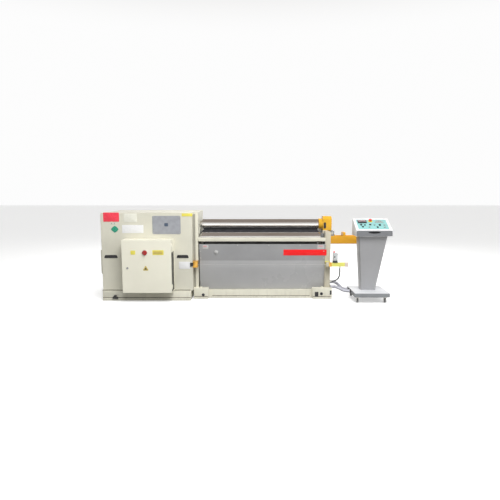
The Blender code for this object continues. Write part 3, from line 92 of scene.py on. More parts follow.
def put(name, points, faces):
    """A mesh object from an array of points and a list of faces, welded, its faces turned outwards."""
    mesh = bpy.data.meshes.new(name)
    mesh.from_pydata(np.asarray(points, float).reshape(-1, 3).tolist(), [], faces)
    shape = bmesh.new()
    shape.from_mesh(mesh)
    bmesh.ops.remove_doubles(shape, verts=shape.verts, dist=WELD)
    bmesh.ops.recalc_face_normals(shape, faces=shape.faces)
    shape.to_mesh(mesh)
    shape.free()
    piece = bpy.data.objects.new(name, mesh)
    bpy.context.scene.collection.objects.link(piece)
    return piece


def loft(name, rings, closed_path=False):
    """Closed rings joined station by station: face (i, j) spans stations i, i+1 and points j, j+1.

    rings is an array of stations by points by 3. The two ends are closed by a face each, unless
    the path itself closes.
    """
    rings = np.asarray(rings, float)
    stations, count = rings.shape[:2]
    index = np.arange(stations * count).reshape(stations, count)
    after = np.roll(index, -1, axis=1)
    if closed_path:
        near, far = index, np.roll(index, -1, axis=0)
        near_after, far_after = after, np.roll(after, -1, axis=0)
    else:
        near, far = index[:-1], index[1:]
        near_after, far_after = after[:-1], after[1:]
    faces = np.stack([near, near_after, far_after, far], axis=-1).reshape(-1, 4).tolist()
    if not closed_path:
        faces.append(index[0][::-1].tolist())
        faces.append(index[-1].tolist())
    return put(name, rings, faces)


def unit(vector):
    """A vector at length one."""
    vector = np.asarray(vector, float)
    return vector / np.linalg.norm(vector, axis=-1, keepdims=True)


def cross_axes(direction):
    """Two unit vectors square to a direction and to each other."""
    direction = unit(direction)
    helper = np.array((0.0, 0.0, 1.0)) if abs(direction[2]) < 0.9 else np.array((0.0, 1.0, 0.0))
    side = unit(np.cross(helper, direction))
    return side, np.cross(direction, side)


def turned(name, profile, start, direction, sides=48, ring=False):
    """A turned solid: point = start + height * direction + radius * (cos t * side + sin t * up).

    With ring set, the profile closes on itself and leaves the middle open.
    """
    profile = np.asarray(profile, float)
    direction = unit(direction)
    side, up = cross_axes(direction)
    angle = np.linspace(0, TAU, sides, endpoint=False)
    circle = np.cos(angle)[:, None] * side + np.sin(angle)[:, None] * up
    rings = (np.asarray(start, float) + profile[:, None, 1:2] * direction
             + profile[:, None, 0:1] * circle[None])
    return loft(name, rings, closed_path=ring)


def arc(centre, radius, start, end, steps):
    """Points on an arc, centre + radius * (cos a, sin a), with a from start to end in degrees."""
    angle = np.radians(np.linspace(start, end, steps + 1))
    return np.asarray(centre, float) + radius * np.stack([np.cos(angle), np.sin(angle)], axis=-1)


def rounded_rectangle(width, height, radius, steps=4):
    """A rectangle's outline about the origin, each corner a quarter arc of the radius."""
    across = width / 2 - radius
    up = height / 2 - radius
    corners = ((across, up, 0), (-across, up, 90), (-across, -up, 180), (across, -up, 270))
    return np.concatenate([arc((x, y), radius, turn, turn + 90, steps) for x, y, turn in corners])


def oval(width, height, power, count=48):
    """An outline with |x / a| ** power + |y / b| ** power = 1: two is an ellipse, more is squarer."""
    angle = np.linspace(0, TAU, count, endpoint=False) + TAU / count / 2
    turn = np.stack([np.cos(angle), np.sin(angle)], axis=-1)
    return np.sign(turn) * np.abs(turn) ** (2 / power) * (width / 2, height / 2)


def rounded_line(points, radius, steps=5):
    """A polyline with each inner corner replaced by an arc of the radius, tangent to both runs."""
    points = np.asarray(points, float)
    radii = np.broadcast_to(radius, len(points) - 2)
    line = [points[:1]]
    for before, corner, after, bend in zip(points, points[1:], points[2:], radii):
        come = unit(before - corner)
        leave = unit(after - corner)
        half = math.acos(np.clip(come @ leave, -1, 1)) / 2
        reach = bend / math.tan(half)
        centre = corner + unit(come + leave) * bend / math.sin(half)
        first = corner + come * reach - centre
        last = corner + leave * reach - centre
        share = np.linspace(0, 1, steps + 1)[:, None]
        line.append(centre + bend * unit(first * (1 - share) + last * share))
    line.append(points[-1:])
    return np.concatenate(line)


def sheet_outline(line, thickness):
    """A bent sheet's section: the line, and the line moved by the thickness along its normals."""
    line = np.asarray(line, float)
    step = unit(np.diff(line, axis=0))
    normal = np.stack([-step[:, 1], step[:, 0]], axis=-1)
    before = np.concatenate([normal[:1], normal])
    after = np.concatenate([normal, normal[-1:]])
    middle = before + after
    miter = 2 * middle / (middle ** 2).sum(axis=-1, keepdims=True)
    return np.concatenate([line, (line + thickness * miter)[::-1]])


X, Y, Z = np.eye(3)
AXES = {"x": (Y, Z, X), "y": (X, Z, Y), "z": (X, Y, Z)}


def carried(name, outline, start, end, axis, origin=(0, 0, 0)):
    """An outline carried along an axis: point = origin + a * across + b * up + s * axis, s in start..end."""
    across, up, along = AXES[axis]
    outline = np.asarray(outline, float)
    flat = np.asarray(origin, float) + outline[:, :1] * across + outline[:, 1:] * up
    stations = np.array([start, end], float)[:, None, None]
    return loft(name, flat[None] + stations * along)


def slab(name, lowest, highest):
    """A box between two corners, as its rectangle carried up Z."""
    x0, y0, z0 = lowest
    x1, y1, z1 = highest
    return carried(name, ((x0, y0), (x1, y0), (x1, y1), (x0, y1)), z0, z1, "z")


def drawn_in(outline, inset):
    """A closed outline moved inwards by each inset: every point goes along the mitre of its two edges."""
    outline = np.asarray(outline, float)
    after = np.roll(outline, -1, axis=0)
    area = (outline[:, 0] * after[:, 1] - outline[:, 1] * after[:, 0]).sum()
    step = unit(after - outline)
    normal = np.sign(area) * np.stack([-step[:, 1], step[:, 0]], axis=-1)
    middle = normal + np.roll(normal, 1, axis=0)
    mitre = 2 * middle / (middle ** 2).sum(axis=-1, keepdims=True)
    return outline + np.asarray(inset, float)[:, None, None] * mitre


FACINGS = {"front": (X, Z, -Y), "back": (-X, Z, Y), "left": (-Y, Z, -X), "right": (Y, Z, X), "up": (X, Y, Z)}


def terrace(name, outline, place, facing, profile):
    """A plate, cup or bar over an outline: ring k is the outline drawn in by profile[k][0] and raised
    by profile[k][1] along the facing, which is a name in FACINGS or its three axes."""
    across, up, out = FACINGS[facing] if isinstance(facing, str) else facing
    profile = np.asarray(profile, float)
    flat = drawn_in(outline, profile[:, 0])
    return loft(name, np.asarray(place, float) + flat[..., :1] * across + flat[..., 1:] * up
                + profile[:, None, 1:] * out)


def rim(thickness, edge):
    """A plate's profile: straight up, then a quarter arc of the edge radius over its rim."""
    angle = np.radians(np.linspace(0, 90, EDGE_STEPS + 1))
    return np.concatenate([[[0.0, 0.0]], np.stack([edge * (1 - np.cos(angle)),
        thickness - edge + edge * np.sin(angle)], axis=-1)])


def bar(start, end, edge):
    """A bar's profile: the quarter arc at its start, the straight run, and the arc at its end."""
    angle = np.radians(np.linspace(90, 0, EDGE_STEPS + 1))
    near = np.stack([edge * (1 - np.cos(angle)), start + edge * (1 - np.sin(angle))], axis=-1)
    far = near[::-1] * (1, -1) + (0, start + end)
    return np.concatenate([near, far])


def smooth_path(route, count):
    """Evenly spaced points on the smooth curve through a route: the cubic between points P1 and P2
    starts along P2 - P0 and ends along P3 - P1, each halved."""
    route = np.asarray(route, float)
    ends = np.concatenate([[2 * route[0] - route[1]], route, [2 * route[-1] - route[-2]]])
    share = np.linspace(0, 1, 32, endpoint=False)[None, :, None]
    p0, p1, p2, p3 = (ends[k:len(ends) - 3 + k, None] for k in range(4))
    curve = 0.5 * (2 * p1 + (p2 - p0) * share + (2 * p0 - 5 * p1 + 4 * p2 - p3) * share ** 2
                   + (3 * p1 - p0 - 3 * p2 + p3) * share ** 3)
    curve = np.concatenate([curve.reshape(-1, 3), route[-1:]])
    travel = np.concatenate([[0.0], np.linalg.norm(np.diff(curve, axis=0), axis=1).cumsum()])
    even = np.linspace(0, travel[-1], count)
    return np.stack([np.interp(even, travel, curve[:, k]) for k in range(3)], axis=-1), travel[-1]


def circles(path, helper, sides):
    """Unit circles cos t * side + sin t * up along a path, each square to its tangent there."""
    tangent = unit(np.gradient(path, axis=0))
    side = unit(np.cross(np.broadcast_to(np.asarray(helper, float), path.shape), tangent))
    up = np.cross(tangent, side)
    angle = np.linspace(0, TAU, sides, endpoint=False)[None, :, None]
    return np.cos(angle) * side[:, None] + np.sin(angle) * up[:, None]


def shown(name, shape):
    """An object made of a bmesh, which is freed."""
    mesh = bpy.data.meshes.new(name)
    shape.to_mesh(mesh)
    shape.free()
    piece = bpy.data.objects.new(name, mesh)
    bpy.context.scene.collection.objects.link(piece)
    return piece


def joined(name, *pieces):
    """One mesh made of several closed pieces."""
    shape = bmesh.new()
    for piece in pieces:
        shape.from_mesh(piece.data)
        mesh = piece.data
        bpy.data.objects.remove(piece)
        bpy.data.meshes.remove(mesh)
    return shown(name, shape)


def node_copy(name, node):
    """A welded copy of a node's mesh, its flat faces merged, ready for rounded edges."""
    shape = bmesh.new()
    shape.from_mesh(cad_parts[node].data)
    bmesh.ops.remove_doubles(shape, verts=shape.verts, dist=WELD)
    bmesh.ops.dissolve_limit(shape, angle_limit=math.radians(1), verts=shape.verts, edges=shape.edges)
    return shown(name, shape)


def rounded(piece, width, segments=2, angle=40):
    """Round a piece's sharp edges."""
    bevel = piece.modifiers.new("rounded edges", "BEVEL")
    bevel.width = width
    bevel.segments = segments
    bevel.limit_method = "ANGLE"
    bevel.angle_limit = math.radians(angle)
    bevel.harden_normals = True
    return piece


def finished(piece, finish, *nodes, body=MACHINE, slot=None):
    """Shade a piece smooth and give it its finish, the body that it rides on and the nodes it replaces."""
    piece.data.shade_smooth()
    if not piece.modifiers:
        piece.data.set_sharp_from_angle(angle=math.radians(32))
    piece.data.materials.clear()
    piece.data.materials.append(MATERIALS[finish])
    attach(piece, body)
    if nodes:
        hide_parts(*nodes)
    return piece


def coated_copy(name, node, finish, edge, segments=2, body=MACHINE):
    """A copy of a node's own shape, its edges rounded, with its finish."""
    return finished(rounded(node_copy(name, node), edge, segments), finish, node, body=body)


def screw_heads(name, centres, normal, radius, height, sides=12):
    """Domed screw heads: each is a turned cap, radius * cos a across and height * sin a high."""
    angle = np.radians(np.linspace(0, 90, 4))
    profile = np.concatenate([[[radius, 0.0]], np.stack([radius * np.cos(angle),
        height * (0.4 + 0.6 * np.sin(angle))], axis=-1)])
    heads = [turned(f"{name}_{number}", profile, centre, normal, sides)
        for number, centre in enumerate(centres)]
    return joined(name, *heads)


def hex_bolt(name, centre, normal, size, height):
    """A washer and a hexagon head with a domed top."""
    washer = turned(f"{name}_washer", ((0, 0), (size * 1.35, 0), (size * 1.35, height * 0.22),
        (0, height * 0.22)), centre, normal, 24)
    head = turned(f"{name}_head", ((0, height * 0.1), (size, height * 0.1), (size, height * 0.9),
        (size * 0.86, height), (0, height)), centre, normal, 6)
    return joined(name, washer, head)


# Shader node groups that the materials share


def linked(tree, kind, settings=None, **sockets):
    """Add a node: settings are its properties, sockets its inputs by label, as values or outputs."""
    made = tree.nodes.new(kind)
    for label, value in (settings or {}).items():
        setattr(made, label, value)
    for label, value in sockets.items():
        key = int(label[1:]) if label[0] == "n" and label[1:].isdigit() else label.replace("_", " ")
        if isinstance(value, bpy.types.NodeSocket):
            tree.links.new(value, made.inputs[key])
        else:
            made.inputs[key].default_value = value
    return made


def feed(tree, node, **sockets):
    """Link outputs to a node's inputs, by label."""
    for label, value in sockets.items():
        tree.links.new(value, node.inputs[label.replace("_", " ")])


def maths(tree, operation, first, second=0.0, clamp=False):
    """The result of one sum."""
    made = linked(tree, "ShaderNodeMath", {"operation": operation, "use_clamp": clamp}, n0=first, n1=second)
    return made.outputs[0]


def mixed(tree, share, first, second):
    """Two colours mixed by a share."""
    made = tree.nodes.new("ShaderNodeMix")
    made.data_type = "RGBA"
    for key, value in ((0, share), (6, first), (7, second)):
        if isinstance(value, bpy.types.NodeSocket):
            tree.links.new(value, made.inputs[key])
        else:
            made.inputs[key].default_value = value
    return made.outputs[2]


def shaded(tree, share, colour, tone):
    """A colour and its darker tone, mixed by a share."""
    return mixed(tree, share, (*(part * tone for part in colour), 1), (*colour, 1))


def seen_rays(tree):
    """One on the rays of the camera, of mirrors and of glass, zero on the light that falls on the object."""
    ray = linked(tree, "ShaderNodeLightPath")
    bounced = maths(tree, "MAXIMUM", ray.outputs["Is Glossy Ray"], ray.outputs["Is Transmission Ray"])
    return maths(tree, "MAXIMUM", ray.outputs["Is Camera Ray"], bounced)


def ranged(tree, value, start, end, to_start=0.0, to_end=1.0):
    """A value moved smoothly from one range to another."""
    made = linked(tree, "ShaderNodeMapRange", {"interpolation_type": "SMOOTHSTEP"}, n0=value, n1=start,
        n2=end, n3=to_start, n4=to_end)
    return made.outputs[0]


def noise(tree, place, scale, detail=3.0, roughness=0.5):
    """A noise value at a place."""
    return linked(tree, "ShaderNodeTexNoise", None, Vector=place, Scale=scale, Detail=detail,
                  Roughness=roughness).outputs[0]


def stretched(tree, place, scale):
    """A place scaled by its own number along each axis."""
    return linked(tree, "ShaderNodeMapping", None, Vector=place, Scale=scale).outputs[0]


def group_tree(name, inputs, outputs):
    """A shader node group with named sockets, its start and its end node."""
    tree = bpy.data.node_groups.new(name, "ShaderNodeTree")
    kinds = {"value": "NodeSocketFloat", "colour": "NodeSocketColor", "vector": "NodeSocketVector"}
    for label, kind, default in inputs:
        socket = tree.interface.new_socket(name=label, in_out="INPUT", socket_type=kinds[kind])
        if default is not None:
            socket.default_value = default
    for label, kind in outputs:
        tree.interface.new_socket(name=label, in_out="OUTPUT", socket_type=kinds[kind])
    return tree, tree.nodes.new("NodeGroupInput"), tree.nodes.new("NodeGroupOutput")


def edge_wear_group():
    """Bare metal where a coat is rubbed off sharp edges: one minus the dot product of the true normal
    and the normal of the same surface with rounded edges, broken up by noise."""
    tree, start, end = group_tree("Edge Wear", (("Coat", "colour", (0.8, 0.8, 0.8, 1)),
        ("Bare", "colour", (0.3, 0.3, 0.3, 1)), ("Place", "vector", None), ("Amount", "value", 0.5),
        ("Reach", "value", 0.003)), (("Color", "colour"), ("Mask", "value")))
    soft = linked(tree, "ShaderNodeBevel", {"samples": 4}, Radius=start.outputs["Reach"])
    sharp = linked(tree, "ShaderNodeNewGeometry")
    dot = linked(tree, "ShaderNodeVectorMath", {"operation": "DOT_PRODUCT"}, n0=soft.outputs[0],
                 n1=sharp.outputs["Normal"])
    edge = ranged(tree, maths(tree, "SUBTRACT", 1.0, dot.outputs["Value"]), 0.03, 0.16)
    patches = ranged(tree, noise(tree, start.outputs["Place"], 42.0, 5.0, 0.65), 0.5, 0.66)
    mask = maths(tree, "MULTIPLY", maths(tree, "MULTIPLY", edge, patches), start.outputs["Amount"], True)
    feed(tree, end, Color=mixed(tree, mask, start.outputs["Coat"], start.outputs["Bare"]))
    feed(tree, end, Mask=mask)
    return tree


def coat_grain_group():
    """A sprayed coat: fine orange peel for the height, and slow mottling for colour and roughness."""
    tree, start, end = group_tree(
        "Coat Grain", (("Place", "vector", None), ("Scale", "value", 420.0), ("Mottle", "value", 2.2)),
        (("Height", "value"), ("Shade", "value")))
    fine = noise(tree, start.outputs["Place"], start.outputs["Scale"], 2.0)
    wave = noise(tree, start.outputs["Place"], maths(tree, "MULTIPLY", start.outputs["Scale"], 0.05), 1.0)
    slow = noise(tree, start.outputs["Place"], start.outputs["Mottle"], 4.0, 0.6)
    height = maths(tree, "ADD", maths(tree, "MULTIPLY", fine, 0.35), wave)
    feed(tree, end, Height=height)
    feed(tree, end, Shade=ranged(tree, slow, 0.3, 0.7))
    return tree


def settled_dust_group():
    """Dust that settles on faces that look up, and splashes that fade with height above the floor."""
    tree, start, end = group_tree("Settled Dust", (("Surface", "colour", (0.8, 0.8, 0.8, 1)),
        ("Dust", "colour", (0.45, 0.41, 0.34, 1)), ("Place", "vector", None), ("Amount", "value", 0.5),
        ("Splash Height", "value", 0.25)), (("Color", "colour"), ("Mask", "value")))
    facing = linked(tree, "ShaderNodeSeparateXYZ", None, n0=linked(tree,
        "ShaderNodeNewGeometry").outputs["Normal"])
    up = ranged(tree, facing.outputs[2], 0.55, 1.0)
    place = linked(tree, "ShaderNodeSeparateXYZ", None, n0=start.outputs["Place"])
    share = maths(tree, "DIVIDE", place.outputs[2], start.outputs["Splash Height"])
    near_floor = maths(tree, "SUBTRACT", 1.0, share, True)
    patches = ranged(tree, noise(tree, start.outputs["Place"], 14.0, 6.0, 0.7), 0.35, 0.75)
    streaks = stretched(tree, start.outputs["Place"], (30.0, 30.0, 3.0))
    runs = ranged(tree, noise(tree, streaks, 1.0, 3.0), 0.45, 0.75)
    low_part = maths(tree, "MULTIPLY", maths(tree, "MULTIPLY", near_floor, near_floor),
        maths(tree, "ADD", maths(tree, "MULTIPLY", runs, 0.6), 0.4))
    both = maths(tree, "MAXIMUM", maths(tree, "MULTIPLY", up, patches), low_part)
    mask = maths(tree, "MULTIPLY", both, start.outputs["Amount"], True)
    feed(tree, end, Color=mixed(tree, mask, start.outputs["Surface"], start.outputs["Dust"]))
    feed(tree, end, Mask=mask)
    return tree


def machined_lines_group():
    """Tool marks: noise drawn out very long along one axis by the Stretch numbers."""
    tree, start, end = group_tree(
        "Machined Lines", (("Place", "vector", None), ("Stretch", "vector", (4.0, 900.0, 900.0))),
        (("Height", "value"), ("Shade", "value")))
    place = linked(tree, "ShaderNodeVectorMath", {"operation": "MULTIPLY"}, n0=start.outputs["Place"],
                   n1=start.outputs["Stretch"])
    lines = noise(tree, place.outputs[0], 1.0, 3.0, 0.6)
    slow = noise(tree, start.outputs["Place"], 9.0, 4.0, 0.6)
    feed(tree, end, Height=lines)
    feed(tree, end, Shade=maths(tree, "MULTIPLY", lines, ranged(tree, slow, 0.25, 0.75, 0.6, 1.0)))
    return tree


GROUPS = {}


def shared_groups():
    """Build each shared group once."""
    GROUPS["wear"] = edge_wear_group()
    GROUPS["grain"] = coat_grain_group()
    GROUPS["dust"] = settled_dust_group()
    GROUPS["lines"] = machined_lines_group()


def shader(name, roughness=0.5, metallic=0.0, coat=0.0):
    """A material with its Principled BSDF and the place on the object that its patterns read."""
    material = bpy.data.materials.new(name)
    material.use_nodes = True
    tree = material.node_tree
    surface = tree.nodes["Principled BSDF"]
    surface.inputs["Roughness"].default_value = roughness
    surface.inputs["Metallic"].default_value = metallic
    surface.inputs["Coat Weight"].default_value = coat
    place = tree.nodes.new("ShaderNodeTexCoord").outputs["Object"]
    return material, tree, surface, place


def placed(tree, group, **sockets):
    """Place a shared group with its own values."""
    made = linked(tree, "ShaderNodeGroup", {"node_tree": GROUPS[group]}, **sockets)
    return made.outputs


def bumped(tree, surface, height, distance, strength=0.5):
    """Feed a height to the surface's normal."""
    bump = linked(tree, "ShaderNodeBump", None, Height=height, Distance=distance, Strength=strength)
    feed(tree, surface, Normal=bump.outputs[0])


def coated_metal(name, colour, roughness=0.42, wear=0.6, dust=0.35, tone=0.9, splash=0.22):
    """Sprayed machine paint: mottled colour, orange peel, chipped edges, dust on top and near the floor."""
    material, tree, surface, place = shader(name, roughness)
    grain = placed(tree, "grain", Place=place, Scale=420.0, Mottle=2.2)
    coat = shaded(tree, grain["Shade"], colour, tone)
    dusty = placed(tree, "dust", Surface=coat, Dust=(0.34, 0.31, 0.26, 1), Place=place, Amount=dust,
                   Splash_Height=splash)
    worn = placed(tree, "wear", Coat=dusty["Color"], Bare=(0.2, 0.19, 0.18, 1), Place=place, Amount=wear,
                  Reach=0.0025)
    feed(tree, surface, Base_Color=worn["Color"])
    base = ranged(tree, grain["Shade"], 0.0, 1.0, roughness + 0.06, roughness - 0.04)
    rough = maths(tree, "ADD", base, maths(tree, "MULTIPLY", dusty["Mask"], 0.3), True)
    feed(tree, surface, Roughness=rough)
    bumped(tree, surface, maths(tree, "SUBTRACT", grain["Height"], worn["Mask"]), PEEL, 0.5)
    return material


def bare_metal(name, colour, roughness=0.25, stretch=(6.0, 500.0, 500.0), tint=0.85, spread=0.14):
    """Machined or ground metal: tool marks vary its tone and roughness, and old fingerprints dull it."""
    material, tree, surface, place = shader(name, roughness, 1.0)
    lines = placed(tree, "lines", Place=place, Stretch=stretch)
    feed(tree, surface, Base_Color=shaded(tree, lines["Shade"], colour, tint))
    smudge = ranged(tree, noise(tree, place, 7.0, 6.0, 0.65), 0.42, 0.68)
    rough = maths(tree, "ADD", maths(tree, "MULTIPLY", lines["Shade"], spread),
                  maths(tree, "ADD", maths(tree, "MULTIPLY", smudge, 0.08), roughness - spread / 2), True)
    feed(tree, surface, Roughness=rough)
    bumped(tree, surface, lines["Height"], TOOL_MARKS, 0.35)
    return material


def moulded(name, colour, roughness=0.45, grain=900.0, depth=0.00012, tone=0.85, coat=0.0):
    """Moulded plastic or rubber: fine spark-eroded texture and slightly uneven gloss."""
    material, tree, surface, place = shader(name, roughness, 0.0, coat)
    fine = placed(tree, "grain", Place=place, Scale=grain, Mottle=18.0)
    feed(tree, surface, Base_Color=shaded(tree, fine["Shade"], colour, tone))
    feed(tree, surface, Roughness=ranged(tree, fine["Shade"], 0.0, 1.0, roughness + 0.07, roughness - 0.05))
    bumped(tree, surface, fine["Height"], depth, 0.5)
    return material


def film(name, colour, roughness, tone, coat=0.0):
    """Printed film: moulded plastic with the finest grain."""
    return moulded(name, colour, roughness, 1100.0, 0.00005, tone, coat)


def cast_metal(name, colour, roughness=0.55, metallic=0.35):
    """Cast iron or blackened steel: coarse sand texture, rubbed bright at its edges."""
    material, tree, surface, place = shader(name, roughness, metallic)
    grain = placed(tree, "grain", Place=place, Scale=650.0, Mottle=25.0)
    base = shaded(tree, grain["Shade"], colour, 0.75)
    worn = placed(tree, "wear", Coat=base, Bare=(0.45, 0.45, 0.45, 1), Place=place, Amount=0.8, Reach=0.002)
    feed(tree, surface, Base_Color=worn["Color"])
    feed(tree, surface, Roughness=ranged(tree, grain["Shade"], 0.0, 1.0, roughness + 0.1, roughness - 0.05))
    bumped(tree, surface, grain["Height"], 0.0006, 0.6)
    return material


def roll_steel_material(name, pale, dark, oily):
    """Ground roll steel: fine rings round the roll, faint brown heat and oil bands along it."""
    material, tree, surface, place = shader(name, 0.22, 1.0)
    rings = placed(tree, "lines", Place=place, Stretch=(1500.0, 3.0, 3.0))
    bands = ranged(tree, noise(tree, stretched(tree, place, (0.6, 7.0, 7.0)), 1.0, 3.0, 0.5), 0.35, 0.7)
    oil = ranged(tree, noise(tree, stretched(tree, place, (1.6, 9.0, 9.0)), 1.0, 4.0, 0.6), 0.5, 0.75)
    steel = mixed(tree, bands, (*dark, 1), (*pale, 1))
    feed(tree, surface, Base_Color=mixed(tree, maths(tree, "MULTIPLY", oil, oily), steel,
        (0.42, 0.36, 0.3, 1)))
    rough = maths(tree, "ADD", maths(tree, "MULTIPLY", rings["Shade"], 0.08),
                  maths(tree, "ADD", maths(tree, "MULTIPLY", oil, 0.03), 0.17), True)
    feed(tree, surface, Roughness=rough)
    bumped(tree, surface, rings["Height"], 0.00006, 0.3)
    return material


def guard_paint_material(colour):
    """Satin grey sheet paint: long rolling waves in the sheet, and painted light: the sheet is paler below
    the apron's fold, where it faces the light more.
    """
    material, tree, surface, place = shader("guard satin grey", 0.33)
    grain = placed(tree, "grain", Place=place, Scale=500.0, Mottle=1.7)
    coat = shaded(tree, grain["Shade"], colour, 0.86)
    rise = linked(tree, "ShaderNodeSeparateXYZ", None, n0=place).outputs[2]
    # Painted light: paler below the apron's fold at Z 0.49, as if that part of the sheet caught more light
    lower = ranged(tree, rise, 0.482, 0.49, 1.0, 0.0)
    coat = mixed(tree, maths(tree, "MULTIPLY", lower, 0.45), coat, (0.52, 0.52, 0.52, 1))
    worn = placed(tree, "wear", Coat=coat, Bare=(0.55, 0.55, 0.55, 1), Place=place, Amount=0.4, Reach=0.002)
    feed(tree, surface, Base_Color=worn["Color"])
    feed(tree, surface, Roughness=ranged(tree, grain["Shade"], 0.0, 1.0, 0.4, 0.26))
    waves = noise(tree, stretched(tree, place, (2.6, 2.6, 3.6)), 1.0, 1.5, 0.4)
    height = maths(tree, "ADD", maths(tree, "MULTIPLY", waves, 22.0), grain["Height"])
    bumped(tree, surface, height, 0.0005, 0.6)
    return material


def base_paint_material():
    """Console base paint: grey on its sides, painted pale on the faces that look up, as painted light from
    above.
    """
    material, tree, surface, place = shader("console base paint lit pale on top", 0.4)
    grain = placed(tree, "grain", Place=place, Scale=420.0, Mottle=3.0)
    side = mixed(tree, grain["Shade"], (0.24, 0.25, 0.26, 1), (0.28, 0.29, 0.3, 1))
    facing = linked(tree, "ShaderNodeSeparateXYZ", None, n0=linked(tree,
        "ShaderNodeNewGeometry").outputs["Normal"])
    # Painted light: faces that look up are mixed to a pale grey, as if lit from above
    top_lit = mixed(tree, ranged(tree, facing.outputs[2], 0.35, 0.9), side, (0.7, 0.71, 0.73, 1))
    worn = placed(tree, "wear", Coat=top_lit, Bare=(0.2, 0.2, 0.2, 1), Place=place, Amount=0.4, Reach=0.002)
    feed(tree, surface, Base_Color=worn["Color"])
    bumped(tree, surface, grain["Height"], 0.0003, 0.5)
    return material


def gilt_steel_material():
    """Amber plated steel: a half-metallic gold with fine mottling."""
    material, tree, surface, place = shader("amber spring steel", 0.35, 0.6)
    grain = placed(tree, "grain", Place=place, Scale=600.0, Mottle=30.0)
    feed(tree, surface, Base_Color=mixed(tree, grain["Shade"], (0.62, 0.3, 0.05, 1), (0.85, 0.5, 0.1, 1)))
    bumped(tree, surface, grain["Height"], 0.0003, 0.5)
    return material


def display_material(name, colour, glow):
    """A display behind clear plastic: faint rows of segments, a soft glow and a glossy cover."""
    material, tree, surface, place = shader(name, 0.12, 0.0, 0.6)
    rows = linked(tree, "ShaderNodeTexWave", {"bands_direction": "X", "wave_profile": "SIN"}, Vector=place,
                  Scale=55.0, Distortion=0.0).outputs[1]
    share = ranged(tree, rows, 0.55, 0.75)
    lit = mixed(tree, share, (*colour, 1), (*[part * 0.45 for part in colour], 1))
    feed(tree, surface, Base_Color=lit, Emission_Color=lit)
    surface.inputs["Emission Strength"].default_value = glow
    return material


